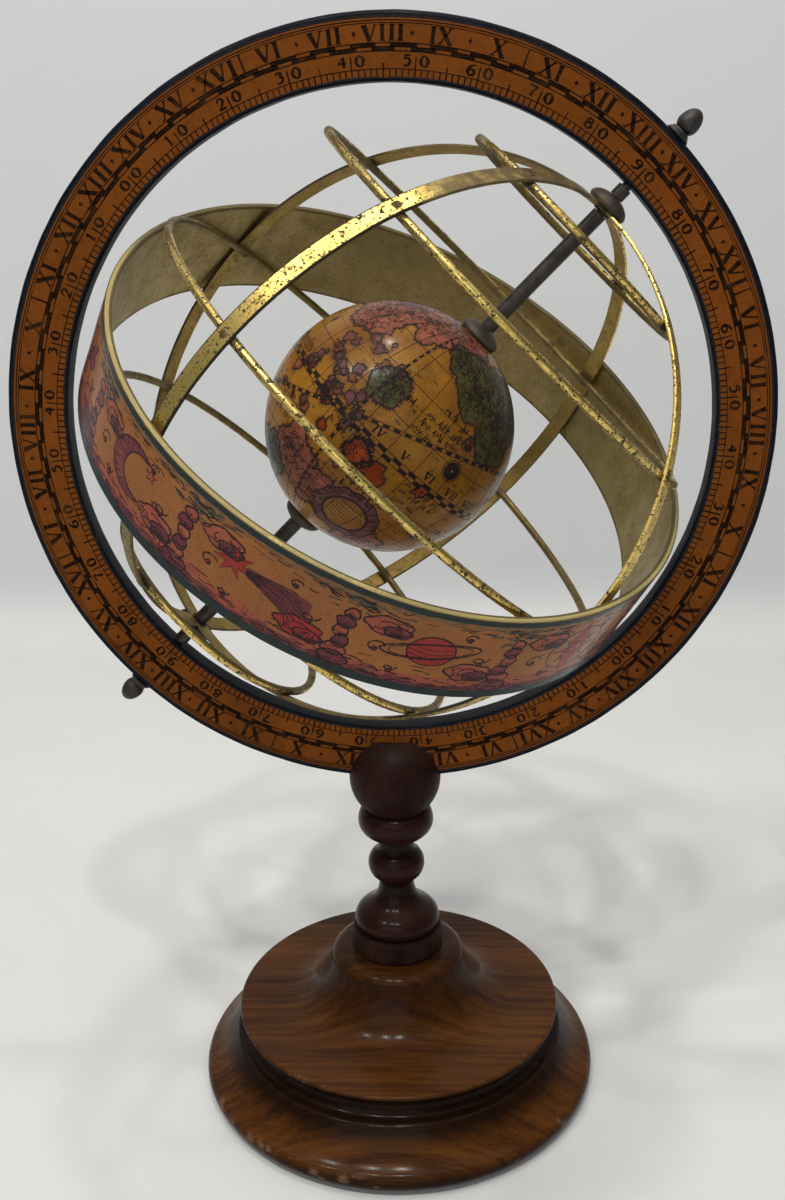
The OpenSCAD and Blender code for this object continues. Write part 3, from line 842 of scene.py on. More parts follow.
ring = dict(
    outer=120.0, inner=101.0, thick=7.5, roundOver=1.6, soft=0.5,
    paper=0.25, paperOuter=118.4, paperInner=101.8,
    # the scale's lines, radius and width
    circles=((117.1, 0.34), (116.4, 0.26), (111.15, 0.34), (110.1, 0.3), (109.0, 0.34),
             (104.25, 0.3)),
    # the ladder of degrees: its foot, and the tops of its marks
    ladder=101.9, degree=104.25, tenth=105.9, divider=107.7, markWidth=0.46,
    digitFoot=105.15, digitApart=1.36, links=120, chain=109.55, link=1.06,
    # the belt of Roman numbers, between its two lines
    beltLow=111.3, beltHigh=116.4, numberFoot=111.6, numberMid=113.7, wide=1.08, lozenge=0.62,
    belts=((69, 21, ("XI", "XII", "XIII", "XIV", "XV", "XVI")),
           (21, -21, ("VI", "VII", "VIII", "IX", "X"))),
    # the painted border inside, its light tabs, and the line outside
    borderLow=101.72, borderHigh=102.25, tabHigh=101.35, tabReach=1.3, outside=118.08)


def ringBody():
    half = ring["thick"] / 2
    soft, over = ring["soft"], ring["roundOver"]
    outline = bow(ring["outer"] - over, -half + over, over, over, -90, 0, 10) + bow(
        ring["outer"] - over, half - over, over, over, 0, 90, 10) + bow(
        ring["inner"] + soft, half - soft, soft, soft, 90, 180, 6) + bow(
        ring["inner"] + soft, -half + soft, soft, soft, 180, 270, 6)

    def brushed(a, r, z):
        # paint gathers into a slightly uneven edge
        return r + 0.10 * waver(a, 14, z * 0.4), z
    points, faces, wear = revolve(outline, 720, closed=True, shape=brushed)
    makePiece("meridian_hoop", points, faces, blackLacquer, "stand",
              place=ringFrame, replaced=("meridian_ring",), wear=wear, split=50)


def paperRing(name, place, node):
    half = ring["thick"] / 2
    face = half + ring["paper"]
    outer, inner = ring["paperOuter"], ring["paperInner"]
    outline = [(outer, half - 0.1), (outer, face - 0.03), (outer - 0.06, face)]
    outline += [(outer - k, face) for k in (2.5, 5, 7.5, 10, 12.5, 15)]
    outline += [(inner + 0.05, face), (inner, face - 0.04), (inner, half - 0.1)]
    points, faces, wear = revolve(outline, 720, closed=True)
    makePiece(name, points, faces, ringPaper, "stand", place=place,
              replaced=(node,), wear=wear, split=30)


digitStrokes = {   # control points (across, up, width) in millimetres, on a 2 mm body
    "0": [("loop", [(0, 1.95, 0.22), (0.62, 1.45, 0.42), (0.72, 0.95, 0.46), (0.5, 0.25, 0.36),
                    (0, 0.02, 0.22), (-0.55, 0.4, 0.42), (-0.74, 1.0, 0.46), (-0.5, 1.65, 0.36)])],
    "1": [("line", [(0, 0.05, 0.34), (0, 1.95, 0.38)]),
          ("line", [(-0.42, 1.62, 0.12), (0, 1.95, 0.3)]),
          ("line", [(-0.45, 0.05, 0.16), (0.45, 0.05, 0.16)])],
    "2": [("line", [(-0.68, 1.4, 0.3), (-0.35, 1.9, 0.3), (0.3, 1.9, 0.36), (0.58, 1.4, 0.42),
                    (0.1, 0.75, 0.32), (-0.7, 0.1, 0.24)]),
          ("line", [(-0.7, 0.1, 0.26), (0.78, 0.1, 0.34)])],
    "3": [("line", [(-0.62, 1.65, 0.26), (0, 1.98, 0.28), (0.52, 1.55, 0.38), (0.05, 1.0, 0.22)]),
          ("line", [(0.05, 1.0, 0.22), (0.66, 0.45, 0.42), (0.25, -0.55, 0.36),
                    (-0.7, -0.7, 0.24)])],
    "4": [("line", [(0.3, -0.95, 0.36), (0.3, 1.95, 0.36)]),
          ("line", [(0.3, 1.95, 0.18), (-0.85, 0.3, 0.2)]),
          ("line", [(-0.85, 0.3, 0.26), (0.85, 0.3, 0.26)])],
    "5": [("line", [(0.7, 1.95, 0.26), (-0.4, 1.92, 0.3)]),
          ("line", [(-0.4, 1.92, 0.2), (-0.5, 1.05, 0.2)]),
          ("line", [(-0.5, 1.05, 0.22), (0.3, 1.15, 0.34), (0.66, 0.4, 0.42), (0.2, -0.55, 0.36),
                    (-0.7, -0.7, 0.24)])],
    "6": [("line", [(0.62, 3.0, 0.2), (-0.3, 2.4, 0.34), (-0.74, 1.1, 0.44), (-0.3, 0.1, 0.36),
                    (0.5, 0.35, 0.4), (0.58, 1.25, 0.38), (0, 1.65, 0.28), (-0.6, 1.2, 0.24)])],
    "7": [("line", [(-0.78, 1.6, 0.2), (-0.7, 1.92, 0.3), (0.78, 1.92, 0.34)]),
          ("line", [(0.78, 1.92, 0.24), (0.15, 0.6, 0.38), (-0.15, -0.95, 0.42)])],
    "8": [("loop", [(0, 1.75, 0.22), (0.55, 2.25, 0.38), (0, 2.85, 0.24), (-0.55, 2.25, 0.38)]),
          ("loop", [(0, 1.7, 0.22), (0.72, 0.9, 0.44), (0, 0.05, 0.26), (-0.72, 0.9, 0.44)])],
    "9": [("loop", [(0, 1.95, 0.22), (0.66, 1.2, 0.42), (0, 0.5, 0.24), (-0.66, 1.2, 0.42)]),
          ("line", [(0.66, 1.2, 0.4), (0.5, -0.1, 0.38), (-0.1, -0.75, 0.3),
                    (-0.95, -0.95, 0.2)])],
}
capStrokes = {     # serifed capitals 4 mm tall for the Roman numbers: advance, strokes
    "I": (1.9, [((0, 0, 0.66), (0, 4, 0.62)), ((-0.8, 0.08, 0.2), (0.8, 0.08, 0.2)),
                ((-0.8, 3.92, 0.2), (0.8, 3.92, 0.2))]),
    "V": (4.0, [((-1.5, 4, 0.78), (0, 0.1, 0.62)), ((1.4, 4, 0.26), (0.05, 0.1, 0.3)),
                ((-2.1, 3.92, 0.2), (-0.8, 3.92, 0.2)), ((0.8, 3.92, 0.2), (2.0, 3.92, 0.2))]),
    "X": (4.0, [((-1.35, 4, 0.76), (1.35, 0, 0.7)), ((1.3, 4, 0.28), (-1.4, 0, 0.26)),
                ((-2.0, 3.92, 0.2), (-0.7, 3.92, 0.2)), ((0.7, 3.92, 0.2), (1.9, 3.92, 0.2)),
                ((-2.0, 0.08, 0.2), (-0.8, 0.08, 0.2)), ((0.7, 0.08, 0.2), (2.0, 0.08, 0.2))]),
}


def ringPlace(u, v, h):
    # u is an arc length at 100 mm, so an angle is u / 100; v is a radius
    return onHoop(v, u / 100, ring["thick"] / 2 + ring["paper"] + h) * mm


def scaleInk(name, place, seed):
    rnd = random.Random(seed)
    ink = Ink(ringPlace)
    edge = Ink(ringPlace, rise=0.05)

    def shake(size):
        return rnd.uniform(-size, size)

    def circleLine(radius, width):
        phase = rnd.uniform(0, 100)
        ink.stroke([(a * 100, radius + 0.03 * waver(a, 11, 0, phase),
                     width * (1 + 0.2 * waver(a, 40, 5, phase))) for a in angles(720)],
                   loop=True)

    def radial(deg, low, high, width):
        a = math.radians(deg) * 100
        ink.stroke([(a + shake(0.05), low + shake(0.08), width * rnd.uniform(0.8, 1.2)),
                    (a + shake(0.05), high + shake(0.1), width * rnd.uniform(0.7, 1.1))])

    def glyphAt(deg, foot, strokes, height, bold):
        # feet towards the centre; the text runs clockwise, seen from its own side
        a0 = math.radians(deg)
        tip = shake(0.04)
        low = min(y for _, line in strokes for _, y, _ in line)
        tall = max(y for _, line in strokes for _, y, _ in line) - low
        rate = height * (2 / tall if tall < 3.5 else 1)
        for kind, line in strokes:
            pts = [(x * height, (y - low) * rate, w * height * bold) for x, y, w in line]
            if len(pts) > 2:
                pts = throughCurve(pts, kind == "loop")
            out = []
            for x, y, w in pts:
                x, y = x + tip * y + shake(0.015), y + shake(0.015)
                r = foot + y
                out.append(((a0 - x / r) * 100, r, max(0.12, w * rnd.uniform(0.9, 1.12))))
            ink.stroke(out, loop=kind == "loop")

    for radius, width in ring["circles"]:
        circleLine(radius, width)
    # ladder of degrees, with longer marks at 5 and 10
    for deg in range(360):
        if deg % 10 == 0:
            radial(deg, ring["ladder"], ring["tenth"], ring["markWidth"])
        elif deg % 10 != 5:
            radial(deg, ring["ladder"], ring["degree"], 0.42)
    # numbers run from 0 at both equator points to 90 at both poles
    for step in range(36):
        deg = step * 10 + 5
        lat = (deg - 45) % 180
        value = 90 - (lat if lat <= 90 else 180 - lat)
        radial(deg, ring["ladder"], ring["divider"], ring["markWidth"])
        for digit, side in zip(f"{round(value / 10) * 10:02d}", (1, -1)):
            glyphAt(deg + side * ring["digitApart"], ring["digitFoot"], digitStrokes[digit],
                    1.42, 1.4)
    # chain: dark links in two rows that take turns, worn brown in places
    for i in range(ring["links"]):
        turn = 360 / ring["links"]
        half = turn * 0.63 * rnd.uniform(0.92, 1.1)
        arc = [math.radians(turn * i + half * k / 4) * 100 for k in range(-4, 5)]
        ink.stroke([(u, ring["chain"] + ring["link"] * (i % 2) + shake(0.03), ring["link"])
                    for u in arc])
    # belt of Roman numbers in eight fields, with a lozenge between two of them
    wide = ring["wide"]
    for quarter in range(0, 360, 90):
        for start, end, words in ring["belts"]:
            start, end = start - quarter, end - quarter
            radial(start, ring["beltLow"], ring["beltHigh"], 0.5)
            cell = (start - end) / len(words)
            for i, word in enumerate(words):
                mid = start - cell * (i + 0.5)
                width = wide * (sum(capStrokes[c][0] for c in word) + 0.5 * (len(word) - 1))
                x = -width / 2
                for c in word:
                    advance, strokes = capStrokes[c]
                    deg = mid - math.degrees((x + advance * wide / 2) / ring["numberMid"])
                    glyphAt(deg, ring["numberFoot"] + shake(0.08),
                            [("line", list(line)) for line in strokes], 1.1, 1.45)
                    x += wide * (advance + 0.5)
                if i:
                    a = math.radians(start - cell * i)
                    size, high = ring["lozenge"], ring["numberMid"] + 0.1
                    shape = [((a + dx * size / ring["numberMid"]) * 100,
                              high + dy * size * 1.25)
                             for dx, dy in ((1, 0), (0, 1), (-1, 0), (0, -1))]
                    ink.blob((a * 100, high), shape, 1)
    # the hand-painted black border inside the paper, with four light tabs left in it
    low = ring["borderLow"]
    line = []
    for a in angles(1440):
        high = ring["borderHigh"] + 0.22 * waver(a, 9, seed) + 0.2 * waver(a, 42, seed + 9)
        for tab in (0, 90, 180, 270):
            gap = abs((math.degrees(a) - tab + 180) % 360 - 180) * 1.78
            if gap < ring["tabReach"]:
                high = min(high, ring["tabHigh"] + 0.9 * (gap / ring["tabReach"]) ** 3)
        line.append((a * 100, (low + max(low + 0.1, high)) / 2, max(0.1, high - low)))
    edge.stroke(line, loop=True)
    edge.stroke([(a * 100, ring["outside"] + 0.05 * waver(a, 50, seed), 0.6)
                 for a in angles(1080)], loop=True)
    ink.piece(name, blackInk, "stand", "scale_paper", place)
    edge.piece(name + "_border", edgeInk, "stand", "black_ring", place)


ringBody()
paperRing("scale_sheet_front", ringFrame, "front_scale")
paperRing("scale_sheet_back", backFrame, "back_scale")
scaleInk("scale_ink_front", ringFrame, 21)
scaleInk("scale_ink_back", backFrame, 22)
print("meridian ring scaled")

# The brass cage.

cage = dict(
    strip=(90.8, 91.8, 5.5), bevel=0.16, wireMid=89.5, wire=1.3,
    wires=((63, "wire_arctic", "arctic_circle"), (34.5, "wire_cancer", "cancer_tropic"),
           (0, "wire_equator", "equator_ring"), (-34.5, "wire_capricorn", "capricorn_tropic"),
           (-63, "wire_antarctic", "antarctic_circle")),
    # dirt: how many spots, how far across, then size and strength from and to
    stripSpots=(34, 2.6, (0.5, 1.7), (0.4, 0.95)), wireSpots=(90, 1.3, (0.6, 2.0), (0.5, 1)))


def scattered(rnd, radius, count, reach, size, strength, height=0):
    # dirt strewn over a hoop
    return [(onHoop(radius, rnd.uniform(0, 2 * math.pi), height + rnd.uniform(-reach, reach)) * mm,
             rnd.uniform(*size), rnd.uniform(*strength)) for _ in range(count)]


def grimeMarks(points, spots):
    # dark dirt round rivets and crossings, as a mark on a hoop's points
    marks = []
    for p in points:
        best = 0
        for spot, size, strength in spots:
            gap = (p - spot).length / (size * mm)
            if gap < 1.6:
                grit = noise.fractal(p * 900, 0.8, 2.2, 4)
                best = max(best, strength * clamp(1.25 - gap + 0.35 * grit))
        marks.append(best)
    return marks


def stripHoop(name, place, node, lapOuter, seed):
    # bent from flat strip and halved where the two hoops cross, poles at local y = +-r
    inner, outer, width = cage["strip"]
    mid = (inner + outer) / 2
    half, bevel = width / 2, cage["bevel"]
    steps = 1080
    rnd = random.Random(seed)
    points, wear, dullAndShaded = [], [], []
    across = [-1, -0.88, -0.74, -0.4, 0, 0.4, 0.74, 0.88, 1]
    innerFace = range(len(across) + 3, 2 * len(across) + 5)
    for a in angles(steps):
        nearPole = min(abs(a - math.pi / 2), abs(a - 3 * math.pi / 2))
        low, high = inner, outer
        if nearPole < half / outer:
            low, high = (mid, outer) if lapOuter else (inner, mid)
        # painted light: where the strip stands furthest right it is kept bright, with less black
        # on its edges and no dulling
        bright = clamp(((place.to_3x3() @ onHoop(1, a)).x - 0.62) / 0.12)
        sway = 0.06 * waver(a, 3, seed)
        nick = 0.05 * waver(a, 60, seed)
        loop = [(high, k * (half - bevel)) for k in across]
        loop += [(high - bevel * 0.3, half - bevel * 0.3 + nick), (high - bevel, half + nick),
                 (low + bevel, half + nick), (low + bevel * 0.3, half - bevel * 0.3 + nick)]
        loop += [(low, -k * (half - bevel)) for k in across]
        loop += [(low + bevel * 0.3, -half + bevel * 0.3 - nick), (low + bevel, -half - nick),
                 (high - bevel, -half - nick), (high - bevel * 0.3, -half + bevel * 0.3 - nick)]
        # towards the poles the outer face is dulled, partly tarnish, partly painted shade over its
        # highlight
        agedAndShaded = max(0, min(0.62, (abs(math.sin(a)) - 0.56) * 6)) * (1 - bright)
        for k, (r, z) in enumerate(loop):
            points.append(onHoop(r, a, z + sway) * mm)
            # black rubbed edges, partly tarnish, partly painted shade; the back hoop gets less of
            # it, as painted light
            wear.append(clamp((abs(z) / half - 0.74) / 0.26) * (1 - 0.75 * bright)
                        * (1 if lapOuter else 0.55))
            # the inner face is dulled all over, partly tarnish, partly painted shade inside the
            # cage
            dullAndShaded.append(1.0 if k in innerFace else agedAndShaded)
    spots = [(Vector((side * math.cos(math.radians(lat)), math.sin(math.radians(lat)), 0))
              * outer * mm, rnd.uniform(2.0, 3.4), rnd.uniform(0.6, 1))
             for lat, _, _ in cage["wires"] for side in (1, -1)]
    spots += scattered(rnd, outer, *cage["stripSpots"])
    makePiece(name, points, tubeFaces(steps, len(loop)), stripBrass, "cage",
              place=place, replaced=(node,), wear=wear, split=30,
              marks={"grime": grimeMarks(points, spots), "dullAndShaded": dullAndShaded})


def wireHoop(lat, name, node):
    mid, thick = cage["wireMid"], cage["wire"]
    radius, height = mid * math.cos(math.radians(lat)), mid * math.sin(math.radians(lat))
    steps, sides = 900, 20
    seed = 40 + int(lat)
    rnd = random.Random(seed)
    points, dullAndShaded = [], []
    up = cageFrame.to_3x3().inverted() @ Vector((0, 0, 1))
    crown = math.atan2(up.y, up.x)
    for a in angles(steps):
        # the crown of the hoop is dull with tarnish; the side that looks inward is dull, partly
        # tarnish, partly painted shade inside the cage
        high = max(0, math.cos(a - crown)) ** 10
        grow = 1 + 0.035 * waver(a, 22, seed)
        for b in angles(sides):
            points.append(onHoop(radius + thick * grow * math.cos(b), a,
                                 height + thick * grow * math.sin(b)) * mm)
            inward = -math.cos(b - math.radians(lat))
            dullAndShaded.append(max(0, min(1, 0.35 + inward * 0.9), 0.75 * high))
    spots = [(onHoop(radius, math.radians(deg), height) * mm, rnd.uniform(3, 6),
              rnd.uniform(0.7, 1)) for deg in (0, 90, 180, 270)]
    spots += scattered(rnd, radius, *cage["wireSpots"], height)
    makePiece(name, points, tubeFaces(steps, sides), wireBrass, "cage",
              place=cageFrame, replaced=(node,), split=40,
              marks={"grime": grimeMarks(points, spots), "dullAndShaded": dullAndShaded})


upright = Matrix.Rotation(math.radians(90), 4, "X")
stripHoop("colure_solstices", cageFrame @ upright, "solstitial_colure", True, 31)
stripHoop("colure_equinoxes", cageFrame @ Matrix.Rotation(math.radians(90), 4, "Z") @ upright,
          "equinoctial_colure", False, 32)
for row in cage["wires"]:
    wireHoop(*row)
print("cage bent and riveted")

# The oblique band and its print.

band = dict(inner=91.9, outer=93.8, width=33.0, rim=0.5, paper=0.25, bright=92.75, fields=12,
            seed=77, middle=92, spots=(90, 16, (0.5, 1.4), (0.2, 0.55)), rivetSpot=(5, 0.7),
            printed=94.05, groundStrokes=900, skyStrokes=260)


def bandHoop():
    half, width, b = band["width"] / 2, band["width"], 0.25
    inner, outer = band["inner"], band["outer"]
    bright, shade = band["bright"] + 0.05, band["bright"] - 0.05
    outline = [(outer - b, -half), (outer, -half + b)]
    outline += [(outer, -half + width * k / 12) for k in range(1, 12)]
    outline += [(outer, half - b), (outer - b, half), (bright, half), (shade, half),
                (inner + b, half), (inner, half - b), (inner, half - b - 0.12)]
    outline += [(inner, half - width * k / 12) for k in range(1, 12)]
    outline += [(inner, -half + b + 0.12), (inner, -half + b), (inner + b, -half),
                (shade, -half), (bright, -half)]
    points, faces, wear = revolve(outline, 720, closed=True, shape=lambda a, r, z: (
        r + 0.05 * waver(a, 6, z * 0.08), z))
    spots = scattered(random.Random(band["seed"]), band["middle"], *band["spots"])
    spots += [(onHoop(band["middle"], math.radians(side)) * mm, *band["rivetSpot"])
              for side in (90, 270, 0, 180)]

    def rimHighlight(p):
        # painted highlight: the rim on the front half is made bright
        if abs(p.z) <= (half - 0.3) * mm or p.xy.length <= band["bright"] * mm:
            return 0.0
        return clamp(0.6 - 2.2 * (bandFrame.to_3x3() @ p.normalized()).y)
    makePiece("zodiac_hoop", points, faces, bandBrass, "cage", place=bandFrame,
              replaced=("zodiac_band",), wear=wear, split=40,
              marks={"grime": grimeMarks(points, spots), "rim": [rimHighlight(p) for p in points]})


def bandPlace(u, v, h):
    return onHoop(band["outer"] + band["paper"] + h, u / 100, v) * mm


def bandSheet():
    half = band["width"] / 2 - band["rim"]
    top = band["outer"] + band["paper"]
    outline = [(band["outer"] - 0.1, -half), (top - 0.04, -half), (top, -half + 0.05)]
    outline += [(top, -half + 2 * half * k / 16) for k in range(1, 16)]
    outline += [(top, half - 0.05), (top - 0.04, half), (band["outer"] - 0.1, half)]
    points, faces, wear = revolve(outline, 720, closed=True)
    made, s, settle = finishOf("bandPrint")
    at = s.place()
    across = s.times(s.upward(s.lay()), 1000)
    cloud = s.noise(at, 130, 4, 0.6)
    strokes = s.noise(s.stretch(s.lay(), (1, 1, 6)), 420, 4, 0.65)
    paper = s.use(oldPaper, Color=(0.30, 0.120, 0.038), Stain=0.4)
    # the rose ground that the figures stand on, laid in with long strokes
    crest = s.plus(s.times(cloud, 9), -14.6)
    ground = s.times(s.band(s.minus(crest, across), -0.6, 0.8), s.band(strokes, 0.40, 0.58))
    tint = s.mix(s.patches(at, 260, 3, 0.6, 0.4, 0.62), (0.26, 0.052, 0.040),
                 (0.115, 0.035, 0.050))
    colour = s.mix(s.times(ground, 0.82), paper["Color"], tint)
    # a thin green shade hangs from the upper border
    foot = s.minus(15.2, s.times(cloud, 6))
    shade = s.times(s.band(s.minus(across, foot), -0.5, 0.8), s.band(strokes, 0.38, 0.6))
    settle(Base_Color=s.mix(s.times(shade, 0.7), colour, (0.045, 0.085, 0.060)),
           Roughness=s.band(paper["Gloss"], 0.2, 0.8, (0.38, 0.56)),
           Coat_Weight=s.glance(0.5, 0.92, (0.06, 0.9)), Coat_Roughness=0.2,
           Specular_IOR_Level=0.1, Normal=s.bump(paper["Height"], 0.3, 0.00004))
    makePiece("zodiac_sheet", points, faces, made, "cage", place=bandFrame,
              replaced=("zodiac_print",), wear=wear, split=30)


class Motifs:
    # Generic sky and garden motifs, drawn with a dark line and filled with colour.
    def __init__(self, rnd):
        self.rnd = rnd
        self.line, self.red, self.plum, self.rose, self.green = (
            Ink(bandPlace, rise=rise) for rise in (0.05, 0.04, 0.035, 0.03, 0.03))

    def at(self, u0, v0, grow=(1, 1)):
        self.u0, self.v0, self.grow = u0, v0, grow
        return self

    def put(self, points):
        k = 100 / band["printed"]
        return [((self.u0 + p[0] * self.grow[0]) * k, self.v0 + p[1] * self.grow[1], *p[2:])
                for p in points]

    def shaky(self, points, size=0.1):
        r = self.rnd
        return [(p[0] + r.uniform(-size, size), p[1] + r.uniform(-size, size), *p[2:])
                for p in points]

    def pen(self, points, width, loop=False, smooth=True):
        pts = self.shaky(points)
        if smooth and len(pts) > 2:
            pts = throughCurve(pts, loop)
        r = self.rnd
        self.line.stroke(self.put([(p[0], p[1], 1.4 * width * r.uniform(0.6, 1.35))
                                   for p in pts]), loop=loop)

    def fill(self, ink, points, mid):
        pts = throughCurve(self.shaky(points, 0.06), True)
        ink.blob(self.put([mid])[0][:2], [p[:2] for p in self.put(pts)], 4)

    def hatch(self, x0, y0, x1, y1, count, length, lean, width=0.18):
        r = self.rnd
        for i in range(count):
            t = (i + r.uniform(-0.3, 0.3)) / max(1, count - 1)
            x, y = x0 + (x1 - x0) * t, y0 + (y1 - y0) * t
            ln = length * r.uniform(0.6, 1.2)
            self.pen([(x, y), (x + ln * lean, y + ln * (1 - abs(lean)))], width, smooth=False)

    def disc(self, ink, x, y, radius):
        pts = [(x + radius * math.cos(a), y + radius * math.sin(a)) for a in angles(10)]
        self.fill(ink, pts, (x, y))
        self.pen(pts, 0.36, True)

    def slip(self, ink, points, used=None):
        # a small straight-edged patch, filled from its middle
        patch = self.put(points)
        mid = [sum(p[k] for p in patch) / len(patch) for k in (0, 1)]
        ink.blob(mid, [p[:2] for p in patch[:used]], 2)

    def sun(self):
        for k in range(16):
            a = 2 * math.pi * k / 16 + 0.1
            c, sn = math.cos(a), math.sin(a)
            if k % 2:
                self.pen([(5.0 * c, 5.0 * sn), (6.1 * c - 0.5 * sn, 6.1 * sn + 0.5 * c),
                          (7.2 * c + 0.3 * sn, 7.2 * sn - 0.3 * c), (8.6 * c, 8.6 * sn)], 0.3)
            else:
                pts = [(4.7 * c - 1.0 * sn, 4.7 * sn + 1.0 * c), (8.9 * c, 8.9 * sn),
                       (4.7 * c + 1.0 * sn, 4.7 * sn - 1.0 * c)]
                self.pen(pts, 0.28, False, False)
                self.slip(self.rose, pts)
        self.disc(self.red, 0, 0, 4.3)
        self.pen([(3.0 * math.cos(k * 0.628), 3.0 * math.sin(k * 0.628)) for k in range(10)],
                 0.22, True)
        self.hatch(-2.2, -1.8, 2.0, -2.6, 8, 2.0, 0.2)

    def moon(self):
        outer = [(6.2 * math.cos(math.radians(a)), 6.2 * math.sin(math.radians(a)))
                 for a in range(60, 301, 24)]
        inner = [(2.6 + 5.0 * math.cos(math.radians(a)), 5.0 * math.sin(math.radians(a)))
                 for a in range(280, 79, -25)]
        pts = outer + inner
        n = len(outer)
        # the crescent is laid in as narrow slips so that each is seen whole
        for i in range(n - 1):
            t0, t1 = i / (n - 1), (i + 1) / (n - 1)
            j0 = inner[round((1 - t0) * (len(inner) - 1))]
            j1 = inner[round((1 - t1) * (len(inner) - 1))]
            self.slip(self.plum, [outer[i], outer[i + 1], j1, j0], 3 if j0 == j1 else 4)
        self.pen(pts, 0.34, True)
        for k in range(9):
            a = math.radians(110 + 17 * k)
            self.pen([(6 * math.cos(a), 6 * math.sin(a)), (4.4 * math.cos(a), 4.6 * math.sin(a))],
                     0.2, smooth=False)
        for x, y, size in ((4.6, 3.2, 1.5), (7.4, -1.6, 1.1), (5.2, -5.0, 0.9)):
            self.star(x, y, size, self.rose, 5)

    def star(self, x, y, size, ink, tips):
        pts = []
        for k in range(2 * tips):
            a = math.pi * k / tips + math.pi / 2
            r = size if k % 2 == 0 else size * 0.42
            pts.append((x + r * math.cos(a), y + r * math.sin(a)))
        pts = self.shaky(pts, 0.04 * size)
        where = self.put(pts)
        ink.blob(self.put([(x, y)])[0][:2], [p[:2] for p in where], 3)
        self.line.stroke([(p[0], p[1], 0.42) for p in where], loop=True)

    def compass(self):
        self.star(0, 0, 8.2, self.red, 4)
        self.star(0, 0, 4.8, self.green, 8)
        self.disc(self.rose, 0, 0, 1.7)
        self.pen([(6.4 * math.cos(k * 0.4488), 6.4 * math.sin(k * 0.4488)) for k in range(14)],
                 0.26, True)

    def comet(self):
        self.star(-5.2, 1.6, 4.0, self.red, 7)
        for k in range(9):
            y = -2.4 + 0.62 * k
            self.pen([(-2.6, 1.2 + 0.24 * y), (1.8, y * 0.8 + 0.6), (5.6, y * 1.35 - 0.4),
                      (9.4 - abs(k - 4) * 0.7, y * 1.7 - 2.0)], 0.26)
        tail = [(-2.4, 2.4), (2.0, 2.6), (8.0, 2.6), (9.4, 0.8), (8.2, -5.2), (2.5, -1.6),
                (-2.6, 0.2)]
        self.fill(self.plum, tail, (2.6, 0.4))

    def orb(self):
        self.disc(self.red, 0, 0, 4.2)
        for t in (-0.5, 0, 0.5):
            self.pen([(-4.1 + abs(t), 2.4 * t), (0, 2.4 * t - 0.9), (4.1 - abs(t), 2.4 * t)], 0.24)
        ringPts = [(8.4 * math.cos(a), 2.3 * math.sin(a) + 2.0 * math.cos(a))
                   for a in angles(16)]
        self.pen(ringPts, 0.42, True)
        self.pen([(x * 0.84, y * 0.84) for x, y in ringPts], 0.24, True)
        self.hatch(-2.4, -3.2, 2.2, -3.0, 7, 1.7, 0.2)
        self.star(6.4, -4.6, 1.3, self.rose, 5)
        self.star(-6.6, 4.8, 1.5, self.rose, 6)

    def flower(self):
        for k in range(6):
            a = 2 * math.pi * k / 6 + 0.3
            c, sn = math.cos(a), math.sin(a)
            petal = [(1.4 * c, 1.4 * sn), (4.0 * c - 2.2 * sn, 4.0 * sn + 2.2 * c),
                     (7.4 * c, 7.4 * sn), (4.0 * c + 2.2 * sn, 4.0 * sn - 2.2 * c)]
            self.fill(self.rose if k % 2 else self.plum, petal, (4 * c, 4 * sn))
            self.pen(petal, 0.3, True)
            self.pen([(2 * c, 2 * sn), (6 * c, 6 * sn)], 0.2, smooth=False)
        self.disc(self.green, 0, 0, 1.8)

    def scroll(self, x, y, size, turn):
        # a curling tendril with a berry in its eye
        line = []
        for k in range(13):
            a = turn * (k * 0.62)
            r = size * (1 - k / 15)
            line.append((x + r * math.cos(a) * 0.8, y + r * math.sin(a) * 0.55 - 0.05 * k * size))
        self.pen(line, 0.34)
        self.disc(self.red, line[-1][0], line[-1][1], 0.7)

    def cloud(self, x, y, wide, ink):
        # a bank of cloud: one scalloped shape, with a smaller one before it
        r = self.rnd
        for k, (dx, dy, size) in enumerate(((0, 0, 1), (0.75, -0.35, 0.6))):
            rim = []
            for a in angles(24):
                puff = size * wide * (1 + 0.20 * abs(math.sin(2.5 * a + k))
                                      + r.uniform(-0.04, 0.04))
                rim.append((x + dx * wide + 1.45 * puff * math.cos(a),
                            y + dy * wide + 0.72 * puff * math.sin(a)))
            self.fill(self.plum if k else ink, rim, (x + dx * wide, y + dy * wide))
            self.pen(rim, 0.4, True)
            for j in range(3):
                a0 = r.uniform(0, 6.28)
                self.pen([(x + dx * wide + size * wide * 0.75 * math.cos(a0 + t),
                           y + dy * wide + size * wide * 0.38 * math.sin(a0 + t))
                          for t in (0, 0.5, 1.0, 1.5)], 0.26)
            self.hatch(x + dx * wide - wide * size, y + dy * wide - wide * size * 0.55,
                       x + dx * wide + wide * size, y + dy * wide - wide * size * 0.5,
                       14, wide * size * 0.5, 0.3, 0.2)

    def pillar(self):
